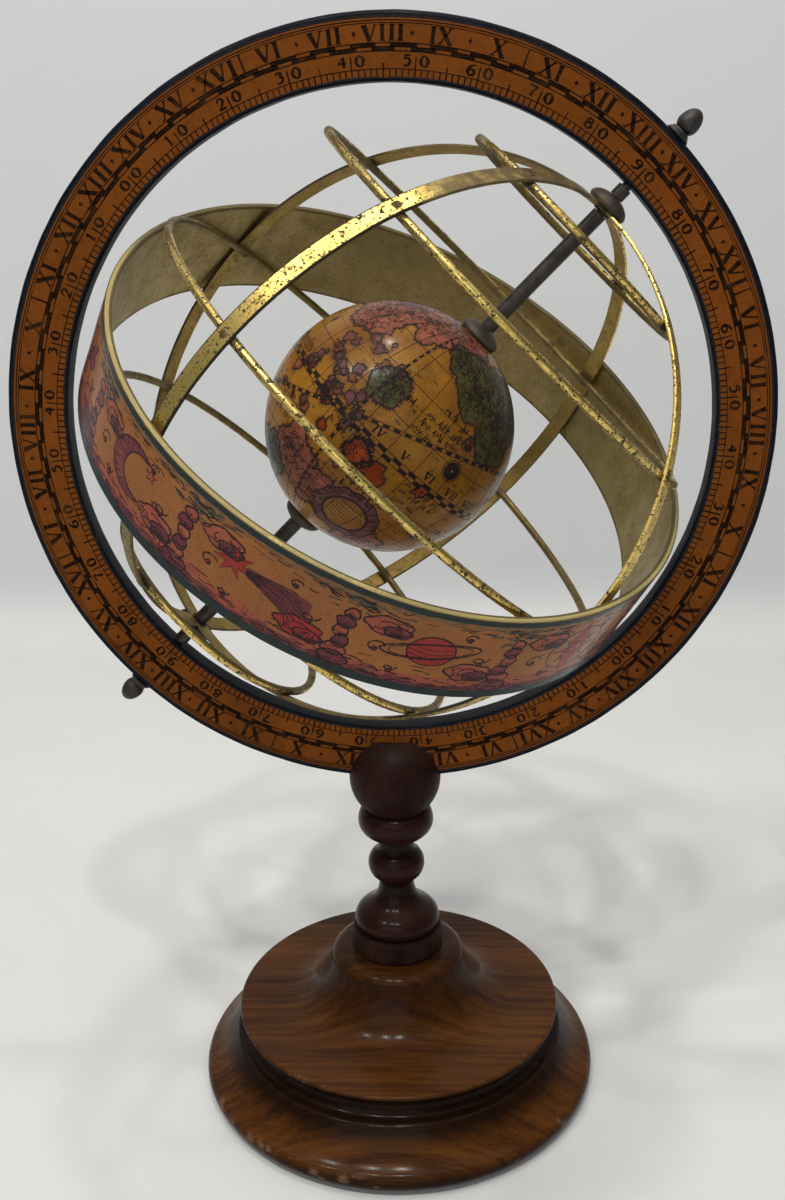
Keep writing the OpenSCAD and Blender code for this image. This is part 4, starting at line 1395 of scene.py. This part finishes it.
        # a rocky stem with leaves at its head, which parts two fields
        r = self.rnd
        rocks = [(-10.6, 4.6, 2.4), (-7.4, 3.4, 2.2), (-4.0, 2.5, 2.4), (-0.2, 2.2, 2.4),
                 (3.4, 2.6, 2.2), (6.8, 2.2, 2.0)]
        for i, (y, wide, high) in enumerate(rocks):
            x = r.uniform(-0.6, 0.6)
            pts = [(x + wide * r.uniform(0.8, 1.15) * math.cos(a),
                    y + high * r.uniform(0.85, 1.15) * math.sin(a))
                   for a in angles(9)]
            self.fill(self.rose if i % 2 else self.plum, pts, (x, y))
            self.pen(pts, 0.42, True)
            self.hatch(x - wide * 0.7, y - high * 0.5, x + wide * 0.5, y - high * 0.7, 6, 1.8, 0.3)
        for _ in range(46):
            x, y = r.gauss(0, 6.5), 12.9 - abs(r.gauss(0, 1)) * 2.6
            reach = r.uniform(1.5, 4.5)
            line = [(x, y), (x + reach * 0.5, y + r.uniform(-0.5, 0.5)),
                    (x + reach, y + r.uniform(-0.8, 0.8))]
            if r.random() < 0.6:
                self.green.stroke(self.put([(*p, r.uniform(0.3, 0.7)) for p in line]))
            else:
                self.pen(line, 0.26)


def bandGround(m):
    # a wavy strip of rose earth, with a darker plum foot
    low = -13.6
    for ink, mean, swing, pace in ((m.rose, -8.9, 3.0, 9), (m.plum, -11.2, 2.2, 15)):
        line = []
        for a in angles(1440):
            high = max(low + 0.3, mean + swing * waver(a, pace, mean) + 0.5 * waver(a, 90, mean))
            line.append((a * 100, (low + high) / 2, high - low))
        ink.stroke(line, loop=True)


def bandPrint():
    rnd = random.Random(band["seed"])
    m = Motifs(rnd)
    kinds = ("moon", "comet", "orb", "compass", "sun", "flower")
    whole = 2 * math.pi * band["printed"]
    step = whole / band["fields"]
    bandGround(m)

    def near(x, y):
        return x + rnd.uniform(-0.6, 0.6), y + rnd.uniform(-0.5, 0.5)

    for i in range(band["fields"]):
        m.at(i * step + rnd.uniform(-0.8, 0.8), 1.2 + rnd.uniform(-0.5, 0.5), (1.62, 1.34))
        getattr(m, kinds[i % 6])()
        m.at(i * step, 0)
        for x, y, size, way in ((-15.5, -1.0, 3.4, 1), (15.2, 1.0, 3.6, -1),
                                (-8.5, -7.0, 2.6, -1), (8.5, 8.6, 2.4, 1)):
            m.scroll(*near(x, y), size, way)
        m.cloud(*near(-14.2, 6.6), 4.0, m.rose)
        m.cloud(*near(13.6, -5.6), 4.2, m.red if i % 3 == 1 else m.rose)
        m.at((i + 0.5) * step + rnd.uniform(-0.8, 0.8), 0).pillar()
    # loose pen strokes in the ground below and the sky above
    for _ in range(band["groundStrokes"]):
        u = rnd.uniform(0, whole)
        v = -13.2 + abs(rnd.gauss(0, 1)) * 2.3
        ln = rnd.uniform(1.6, 6.5)
        line = [(0, 0), (ln * 0.5, rnd.uniform(-0.5, 0.6)), (ln, rnd.uniform(-0.6, 0.6))]
        if rnd.random() < 0.4:
            m.at(u, v).plum.stroke(m.put([(*p, rnd.uniform(0.25, 0.6)) for p in line]))
        else:
            m.at(u, v).pen(line, rnd.uniform(0.16, 0.30))
    for _ in range(band["skyStrokes"]):
        u = rnd.uniform(0, whole)
        v = 13.0 - abs(rnd.gauss(0, 1)) * 1.4
        ln = rnd.uniform(1.0, 4.0)
        m.at(u, v).pen([(0, 0), (ln, rnd.uniform(-0.3, 0.4))], rnd.uniform(0.12, 0.2),
                       smooth=False)
    # slate-green borders along both rims, with an uneven inner edge
    border = Ink(bandPlace, rise=0.045)
    for low, high, side in ((-16.0, -13.0, 1), (14.1, 16.0, -1)):
        line = []
        for a in angles(1440):
            edge = 0.22 * waver(a, 24, side * 3) + 0.1 * waver(a, 120, side * 7)
            lo, hi = (low, high + edge) if side > 0 else (low + edge, high)
            line.append((a * 100, (lo + hi) / 2, hi - lo))
        border.stroke(line, loop=True)
    for key, colour, fade, under in (
            ("line", (0.024, 0.013, 0.016), 0.4, (0.09, 0.035, 0.03)),
            ("rose", (0.30, 0.072, 0.045), 0.7, (0.36, 0.13, 0.05)),
            ("red", (0.30, 0.028, 0.026), 0.4, (0.26, 0.06, 0.035)),
            ("green", (0.040, 0.062, 0.048), 0.4, (0.13, 0.10, 0.05)),
            ("plum", (0.135, 0.030, 0.042), 0.6, (0.28, 0.085, 0.05)),
            ("border", (0.020, 0.032, 0.032), 0.3, (0.045, 0.052, 0.040))):
        ink = border if key == "border" else getattr(m, key)
        ink.piece("zodiac_" + key, inkFinish("print" + key.capitalize(), colour, fade, under),
                  "cage", "band_paper", bandFrame)


bandHoop()
bandSheet()
bandPrint()
print("zodiac band printed")

# The globe.

globe = dict(
    radius=39.1, rows=260, columns=520, graticule=15, seed=19,
    heading=6.283,   # pen strokes may head any way round
    lands=[  # longitude, latitude, reach in degrees, tint, roughness of its coast
        (-152, 41, 15, "rose", 0.3), (-170, 55, 20, "rose", 0.3), (-132, 60, 13, "rose", 0.35),
        (-112, 72, 12, "rose", 0.3), (-67, 51, 16, "green", 0.16), (-87, 56, 9, "green", 0.2),
        (-45, 37, 14, "green", 0.16), (-30, 52, 18, "green", 0.2), (-109, 21, 9, "green", 0.16),
        (-99, -8, 5.5, "red", 0.3), (-87, -10, 5, "red", 0.4), (-124, -33, 13, "rose", 0.35),
        (-104, -39, 10, "rose", 0.35), (-84, -42, 10, "rose", 0.3), (-60, -46, 12, "rose", 0.3),
        (-146, -46, 12, "green", 0.3), (-10, 8, 10, "red", 0.35), (20, 30, 24, "rose", 0.3),
        (40, -12, 20, "green", 0.3), (84, 34, 24, "rose", 0.3), (112, 6, 14, "green", 0.3),
        (100, -40, 22, "rose", 0.3), (158, 4, 13, "green", 0.3), (150, -46, 16, "red", 0.35),
        (-20, -50, 15, "rose", 0.3)],
    tints={"rose": (0.235, 0.066, 0.040), "green": (0.040, 0.058, 0.014),
           "red": (0.25, 0.036, 0.010), "plum": (0.120, 0.038, 0.046)},
    isles=70, waves=260, blocks=80,
    # longitude, latitude and size in radians; the wreath lies outside the panel
    panels=((-80, -37, 0.18), (88, -8, 0.17)), wreath=1.55, leaves=90,
    stars=((-61, 13, 0.088), (-45, -20, 0.06), (62, 12, 0.08), (128, -22, 0.07)),
    # longitude, latitude and number of rows
    strokes=((-90, 24, 3), (-84, 31, 1), (-72, 29, 2), (-74, -4, 3), (-96, -20, 2),
             (-122, 27, 2), (-118, -3, 2), (5, -25, 3), (70, 7, 3), (140, 25, 3),
             (-160, -14, 3), (30, 62, 2)))


def onSphere(lon, lat):
    a, b = math.radians(lon), math.radians(lat)
    return Vector((math.cos(b) * math.cos(a), math.cos(b) * math.sin(a), math.sin(b)))


class Spot:
    # a place on the sphere, with the ways east and north of it
    def __init__(self, lon, lat):
        self.mid = onSphere(lon, lat)
        self.east = Vector((0, 0, 1)).cross(self.mid).normalized()
        self.north = self.mid.cross(self.east)

    def way(self, a):
        return self.east * math.cos(a) + self.north * math.sin(a)

    def off(self, step):
        return (self.mid + step).normalized()

    def at(self, a, d):
        # the point that lies d radians away
        return (self.mid * math.cos(d) + self.way(a) * math.sin(d)).normalized()


class Coast(Spot):
    # a land with a wandering outline, held as distances from its middle
    def __init__(self, lon, lat, reach, tint, rough, rnd):
        super().__init__(lon, lat)
        self.north.normalize()
        self.reach, self.tint, self.rough = math.radians(reach), tint, rough
        self.key = Vector((rnd.uniform(0, 90), rnd.uniform(0, 90), rnd.uniform(0, 90)))

    def edge(self, a):
        at = onHoop(1, a)
        broad = noise.noise(at * 1.3 + self.key)
        fine = noise.fractal(at * 3.4 + self.key, 0.9, 2.1, 5)
        return self.reach * (1 + self.rough * (1.5 * broad + 0.5 * fine))

    def depth(self, p):
        # above 0 inside, in radians from the coast
        d = math.acos(max(-1, min(1, p.dot(self.mid))))
        if d > self.reach * 1.9:
            return -1
        return self.edge(math.atan2(p.dot(self.north), p.dot(self.east))) - d


def globePlace(p, h):
    return p * ((globe["radius"] + h) * mm)


def sphereLine(ink, path, width, loop=False):
    # a pen line along points on the sphere
    start = len(ink.points)
    for i, p in enumerate(path):
        a, b = beside(path, i, loop)
        side = p.cross(b - a)
        side = side.normalized() if side.length > 1e-9 else Vector((1, 0, 0))
        w = (width[i] if isinstance(width, list) else width) / 2 / globe["radius"]
        for sgn, h in ink.corners():
            ink.points.append(globePlace((p + side * w * sgn).normalized(), h))
    ink.faces += tubeFaces(len(path), 4, loop, start)


def landList(rnd):
    lands = [Coast(*row, rnd) for row in globe["lands"]]
    for _ in range(globe["isles"]):
        near = rnd.random() < 0.6
        lon = rnd.gauss(-131, 12) if near else rnd.uniform(-180, 180)
        lat = rnd.gauss(4, 13) if near else rnd.uniform(-60, 60)
        lands.append(Coast(lon, lat, rnd.uniform(0.9, 3.4),
                           rnd.choice(["plum", "plum", "rose", "red"]), 0.5, rnd))
    return lands


def landMarks(points, lands):
    # how far each point lies inside a land of each tint, and how near a shore
    masks = {key: [0.0] * len(points) for key in globe["tints"]}
    shore = [0.0] * len(points)
    for i, p in enumerate(points):
        d = p.normalized()
        for land in lands:
            if d.dot(land.mid) < math.cos(min(3.1, land.reach * 1.9)):
                continue
            deep = land.depth(d)
            if deep > -0.12:
                masks[land.tint][i] = max(masks[land.tint][i], clamp(0.5 + deep / 0.012))
                shore[i] = max(shore[i], 1 - abs(deep) / 0.10)
    # the round panels stay bare inside a plum wreath
    for lon, lat, size in globe["panels"]:
        mid = onSphere(lon, lat)
        for i, p in enumerate(points):
            far = math.acos(max(-1, min(1, p.normalized().dot(mid)))) / size
            if far < globe["wreath"]:
                for key in masks:
                    masks[key][i] = float(key == "plum" and far > 1)
                shore[i] = 0
    return {**masks, "shore": shore}


def globeFinish():
    made, s, settle = finishOf("globePrint")
    at = s.place()
    colour = s.mix(s.patches(at, 55, 4, 0.6, 0.35, 0.65), (0.225, 0.090, 0.009),
                   (0.320, 0.150, 0.017))
    for key, tint in globe["tints"].items():
        wash = s.mix(s.patches(at, 190, 5, 0.7, 0.35, 0.68),
                     tuple(v * 0.72 for v in tint), tuple(min(1, v * 1.35 + 0.006) for v in tint))
        colour = s.mix(s.times(s.mark(key), 0.93), colour, wash)
    colour = s.mix(s.times(s.band(s.mark("shore"), 0.55, 1), 0.5), colour, (0.09, 0.040, 0.022))
    paper = s.use(oldPaper, Color=colour, Stain=0.45)
    scuff = s.patches(at, 900, 5, 0.7, 0.66, 0.72)
    settle(Base_Color=s.mix(s.times(scuff, 0.35), paper["Color"], (0.42, 0.30, 0.18)),
           Roughness=s.band(paper["Gloss"], 0.2, 0.8, (0.3, 0.5)),
           Coat_Weight=s.glance(0.55, 0.95, (0.16, 0.55)), Coat_Roughness=0.17,
           Specular_IOR_Level=0.12, Normal=s.bump(paper["Height"], 0.35, 0.00006))
    return made


def globeBall(lands):
    rows, r = globe["rows"], globe["radius"]
    tilts = [math.radians(-90 + 180 * k / rows) for k in range(rows + 1)]
    outline = [(r * math.cos(t), r * math.sin(t)) for t in tilts]
    outline[0], outline[-1] = (0, outline[0][1]), (0, outline[-1][1])
    points, faces, _ = revolve(outline, globe["columns"])
    makePiece("globe_ball", points, faces, globeFinish(), "globe",
              place=polarFrame, replaced=("globe",), split=60, marks=landMarks(points, lands))


def gridLines(ink):
    grid = globe["graticule"]
    for lat in range(-75, 90, grid):
        if lat:
            n = max(60, int(220 * math.cos(math.radians(lat))))
            sphereLine(ink, [onSphere(360 * k / n, lat) for k in range(n)], 0.22, True)
    for lon in range(0, 360, grid):
        sphereLine(ink, [onSphere(lon, -80 + 160 * k / 60) for k in range(61)], 0.22)
    # two dashed great circles through the poles
    for lon in (-111, -21, 69, 159):
        for off in (0.7, -0.7):
            sphereLine(ink, [onSphere(lon + off, -62 + 130 * k / 50) for k in range(51)], 0.14)
        for k in range(-15, 17):
            sphereLine(ink, [onSphere(lon, 4 * k + t * 0.8) for t in range(4)], 0.85)
    for lat in (23.5, -23.5, 66.5, -66.5):
        for k in range(1, 240, 2):
            sphereLine(ink, [onSphere(1.5 * (k + t / 3), lat) for t in range(4)], 0.24)
    # the equator, chequered in two rows between thin lines
    for off in (1.8, 0, -1.8):
        sphereLine(ink, [onSphere(k, off) for k in range(360)], 0.22 if off else 0.14, True)
    for k in range(globe["blocks"]):
        sphereLine(ink, [onSphere(360 / globe["blocks"] * k + 4.5 * t / 4, 0.9 if k % 2 else -0.9)
                         for t in range(5)], 1.18)
    # the ecliptic, a narrow line of dashes
    tilt = Matrix.Rotation(math.radians(23.5), 3, "X")
    turn = Matrix.Rotation(math.radians(-117), 3, "Z")
    for off in (0.8, -0.8):
        sphereLine(ink, [turn @ tilt @ onSphere(k, off) for k in range(360)], 0.18, True)
    for k in range(72):
        sphereLine(ink, [turn @ tilt @ onSphere(5 * k + t, 0) for t in range(4)], 0.85)


def coastLines(ink, rnd, lands):
    # a shaky outline with short hatches on the sea side
    panels = [(onSphere(lon, lat), size * globe["wreath"]) for lon, lat, size in globe["panels"]]
    large = lands[:len(globe["lands"])]

    def underPanel(p):
        return any(p.dot(mid) > math.cos(reach) for mid, reach in panels)

    for land in lands:
        big = land.reach > math.radians(5)
        n = 240 if big else 40
        heavy = 1.5 if land.tint == "red" and big else 1
        path = [land.at(a, land.edge(a)) for a in angles(n)]
        hidden = [underPanel(p) or any(o is not land and o.tint == land.tint
                                       and o.depth(p) > 0.004 for o in large) for p in path]
        run = []
        for k in range(n + 1):
            if k < n and not hidden[k]:
                run.append(path[k])
                continue
            whole = k == n and not any(hidden)
            if len(run) > 1:
                sphereLine(ink, run, [heavy * rnd.uniform(0.22, 0.6) for _ in run], whole)
            run = []
        if not big:
            continue
        for k in range(n):
            if hidden[k] or rnd.random() < 0.3:
                continue
            p = path[k]
            out = (p - land.mid * p.dot(land.mid)).normalized()
            ln = heavy * rnd.uniform(0.010, 0.030)
            sphereLine(ink, [p, (p + (out + land.east * 0.3) * ln).normalized()],
                       [0.22 * heavy, 0.12])
        # rivers, ridges and pen shading inside the land
        for _ in range(int(land.reach ** 2 * (3600 if land.tint == "green" else 2200))):
            a, f = rnd.uniform(0, globe["heading"]), rnd.uniform(0.1, 0.82)
            p = land.at(a, land.edge(a) * f)
            if underPanel(p):
                continue
            heading = rnd.uniform(0, globe["heading"])
            line = [p]
            for _ in range(rnd.randint(1, 4)):
                heading += rnd.uniform(-1.3, 1.3)
                p = (p + land.way(heading) * rnd.uniform(0.01, 0.024)).normalized()
                line.append(p)
            sphereLine(ink, line, rnd.uniform(0.14, 0.32))


def seaMarks(ink, rnd, lands):
    # waves and small strokes
    for _ in range(globe["waves"]):
        lon, lat = rnd.uniform(-180, 180), rnd.gauss(0, 32)
        p = onSphere(lon, lat)
        if abs(lat) > 78 or any(o.depth(p) > -0.02 for o in lands):
            continue
        ln = rnd.uniform(1.2, 3.4)
        sphereLine(ink, [onSphere(lon + ln * t / 5, lat + 0.5 * math.sin(t * 2.6))
                         for t in range(6)], rnd.uniform(0.16, 0.34))
    # rows of quick upright strokes, which stand for nothing
    for lon, lat, rows in globe["strokes"]:
        for row in range(rows):
            x = rnd.uniform(0, 3)
            for _ in range(rnd.randint(2, 4)):
                line = []
                for k in range(rnd.randint(5, 10)):
                    high = rnd.choice((1.5, 1.7, 1.8, 2.9)) if k % 2 else rnd.choice((0, 0, -1.1))
                    line.append(onSphere(lon + x, lat - 4.2 * row + high))
                    x += rnd.uniform(0.5, 0.9)
                sphereLine(ink, line, [rnd.uniform(0.34, 0.62) for _ in line])
                x += rnd.uniform(1.2, 2.2)


def hourNumbers(ink):
    # Roman numbers along the equator, one to each fifteenth degree
    tens = ("", "X", "XX")
    ones = ("", "I", "II", "III", "IV", "V", "VI", "VII", "VIII", "IX")
    for hour in range(1, 25):
        word = tens[hour // 10] + ones[hour % 10]
        x = -sum(capStrokes[c][0] + 0.4 for c in word) / 2
        for c in word:
            advance, strokes = capStrokes[c]
            for line in strokes:
                sphereLine(ink, [onSphere(15 * hour - 157.5 + (x + advance / 2 + px) * 0.88,
                                          2.9 + py * 0.95) for px, py, _ in line],
                           [0.85 * p[2] + 0.12 for p in line])
            x += advance + 0.4


def roundPanels(ink, rnd):
    # ruled with fine strokes, inside a plum wreath
    for lon, lat, size in globe["panels"]:
        spot = Spot(lon, lat)
        for rr, width in ((1, 0.55), (1.08, 0.3), (globe["wreath"], 0.45)):
            sphereLine(ink, [spot.off(spot.way(t / 12) * size * rr
                                      * (1 + 0.03 * math.sin(t) * (rr > 1.2)))
                             for t in range(77)], width)
        for _ in range(globe["leaves"]):
            a = rnd.uniform(0, globe["heading"])
            way = spot.way(a)
            onward = spot.north * math.cos(a) - spot.east * math.sin(a)
            r = size * rnd.uniform(1.12, 1.45)
            sphereLine(ink, [spot.off(way * r),
                             (spot.mid + way * (r + 0.02) + onward * 0.03).normalized()], 0.26)
        for row in range(-4, 5):
            reach = math.sqrt(max(0, 0.81 - (row / 5) ** 2))
            k = -reach
            while k < reach - 0.1:
                step = rnd.uniform(0.06, 0.2)
                sphereLine(ink, [(spot.mid + spot.east * size * x
                                  + spot.north * size * row / 5).normalized()
                                 for x in (k, k + step)], 0.26)
                k += step + 0.07


def seaStars(ink):
    # compass discs at sea, as any chart has
    for lon, lat, size in globe["stars"]:
        spot = Spot(lon, lat)
        for k, a in enumerate(angles(16)):
            sphereLine(ink, [spot.off(spot.way(a) * size * 0.25),
                             spot.off(spot.way(a) * size * (1.7 if k % 2 else 2.5))],
                       [0.34, 0.22] if k % 2 else [0.6, 0.26])
        for rr, width in ((0.24, 0.8), (0.46, 0.9), (0.7, 0.75), (0.95, 0.3)):
            sphereLine(ink, [spot.off(spot.way(a) * size * rr) for a in angles(32)], width, True)


def globeMap():
    rnd = random.Random(globe["seed"])
    lands = landList(rnd)
    globeBall(lands)
    ink = Ink(None, rise=0.03, depth=0.05)
    gridLines(ink)
    coastLines(ink, rnd, lands)
    seaMarks(ink, rnd, lands)
    hourNumbers(ink)
    roundPanels(ink, rnd)
    seaStars(ink)
    ink.piece("globe_ink", inkFinish("globeInk", (0.016, 0.010, 0.010), fade=0.3,
                                     under=(0.10, 0.05, 0.03)), "globe", "globe_paper",
              polarFrame)


globeMap()
print("globe drawn")

# The acorn finials, finer than the solids they stand for.

finial = dict(foot=4.0, belly=3.4, at=4.6, height=9.6, seat=120.0)


def finialPiece():
    f = finial
    outline = bow(f["foot"] - 0.4, 0.4, 0.4, 0.4, -90, 60, 10) + sweep(
        (f["foot"] - 0.3, 0.8), (f["foot"] - 0.5, 1.5), (f["belly"] - 0.4, 1.2),
        (f["belly"] - 0.45, 2), 12) + bow(f["belly"] - 3, f["at"], 3, f["at"] - 1.6,
                                         -60, 0, 16) + bow(
        0, f["at"], f["belly"], f["height"] - f["at"], 5, 88, 24)
    outline = cleanOutline([(0, outline[0][1])] + outline + [(0, f["height"])])
    points, faces, wear = revolve(outline, 96)
    allPoints, allFaces, allWear = [], [], []
    for flip in (Matrix.Identity(4), Matrix.Rotation(math.pi, 4, "X")):
        start = len(allPoints)
        allPoints += [flip @ (p + Vector((0, 0, f["seat"] * mm))) for p in points]
        allFaces += [[v + start for v in face] for face in faces]
        allWear += wear
    makePiece("finials", allPoints, allFaces, finialBronze, "stand",
              place=polarFrame, replaced=("axis_finials",), wear=allWear, split=50)


finialPiece()
print("finials turned")

# The room: plain floor and wall, soft light, camera.

room = dict(floor=(0.80, 0.80, 0.785), wall=(0.70, 0.71, 0.715), wallAt=0.46, cove=0.05,
            width=5.0, front=-2.6, height=2.4)


def roomFinish(name, floor, wall):
    # pale stone underfoot, with a faint cloud, and a slightly greyer wall; from behind
    # the wall is clear, so that the piece can be looked at from every side
    made, s, settle = finishOf(name)
    at = s.place()
    cloud = s.band(s.noise(at, 7, 5, 0.6, 0.8), 0.35, 0.75)
    stone = s.mix(s.times(cloud, 0.6), floor, tuple(v * 0.92 for v in floor))
    behind = s.node("ShaderNodeNewGeometry").outputs["Backfacing"]
    settle(Base_Color=s.mix(s.band(s.upward(s.normal()), 0.2, 0.9), wall, stone),
           Roughness=0.45, Specular_IOR_Level=0.25, Alpha=s.minus(1, behind),
           Normal=s.bump(s.noise(at, 60, 3, 0.6), 0.1, 0.0004))
    return made


def buildRoom():
    profile = [(room["front"], 0), (-1, 0), (0, 0)]
    c, r = room["wallAt"], room["cove"]
    profile += [(c - r + r * math.sin(math.radians(a)), r - r * math.cos(math.radians(a)))
                for a in range(0, 91, 6)]
    profile += [(c, room["height"] * 0.4), (c, room["height"])]
    half = room["width"] / 2
    points = [(x, y, z) for y, z in profile for x in (-half, half)]
    faces = [(2 * i, 2 * i + 1, 2 * i + 3, 2 * i + 2) for i in range(len(profile) - 1)]
    mesh = bpy.data.meshes.new("room_sweep")
    mesh.from_pydata(points, [], faces)
    mesh.polygons.foreach_set("use_smooth", [True] * len(faces))
    mesh.materials.append(roomFinish("paleRoom", room["floor"], room["wall"]))
    backdrop = bpy.data.objects.new("room_sweep", mesh)
    bpy.context.scene.collection.objects.link(backdrop)


buildRoom()

warm, table = (1.0, 0.97, 0.92), (0, 0, 0.15)
lights = [  # name, place, aim, width, height, power, colour
    ("lampMiddle", (0.03, -0.62, 1.35), table, 0.06, 0.06, 3.4, warm),
    ("lampLeft", (-0.24, -0.60, 1.35), table, 0.06, 0.06, 2.8, warm),
    ("lampFar", (-0.62, -0.45, 1.35), table, 0.06, 0.06, 2.0, warm),
    ("lampOver", (0.02, 0.0, 1.25), table, 0.06, 0.06, 1.8, warm),
    ("ceiling", (0.0, 0.1, 1.9), (0, 0, 0.1), 2.6, 2.0, 13.5, (1.0, 0.99, 0.97)),
    ("roomFront", (-0.4, -2.0, 1.1), table, 2.2, 1.6, 10.5, (0.97, 0.985, 1.0)),
]
for name, place, aim, width, height, power, colour in lights:
    lamp = bpy.data.lights.new(name, "AREA")
    lamp.shape = "RECTANGLE"
    lamp.size, lamp.size_y, lamp.energy, lamp.color = width, height, power, colour
    holder = bpy.data.objects.new(name, lamp)
    holder.location = place
    holder.rotation_euler = (Vector(aim) - Vector(place)).to_track_quat("-Z", "Y").to_euler()
    bpy.context.scene.collection.objects.link(holder)

world = bpy.data.worlds.new("room")
world.use_nodes = True
world.node_tree.nodes["Background"].inputs["Color"].default_value = (0.62, 0.65, 0.68, 1)
world.node_tree.nodes["Background"].inputs["Strength"].default_value = 0.25
bpy.context.scene.world = world
bpy.context.scene.view_settings.view_transform = "Standard"

eye = dict(place=(0.01694275, -0.39903316, 0.31100126),
           right=(0.99919268, 0.0373446, -0.01481124),
           ahead=(-0.04010679, 0.94864179, -0.31379961),
           up=(0.00233184, 0.31414031, 0.9493737), lens=38.3748)
camera = bpy.data.objects.new("eye", bpy.data.cameras.new("eye"))
camera.data.lens, camera.data.sensor_width = eye["lens"], 36
camera.data.clip_start = 0.01
back = -Vector(eye["ahead"])
camera.matrix_world = Matrix.Translation(eye["place"]) @ Matrix((
    (eye["right"][0], eye["up"][0], back[0]), (eye["right"][1], eye["up"][1], back[1]),
    (eye["right"][2], eye["up"][2], back[2]))).to_4x4()
bpy.context.scene.collection.objects.link(camera)
bpy.context.scene.camera = camera
print("room lit")
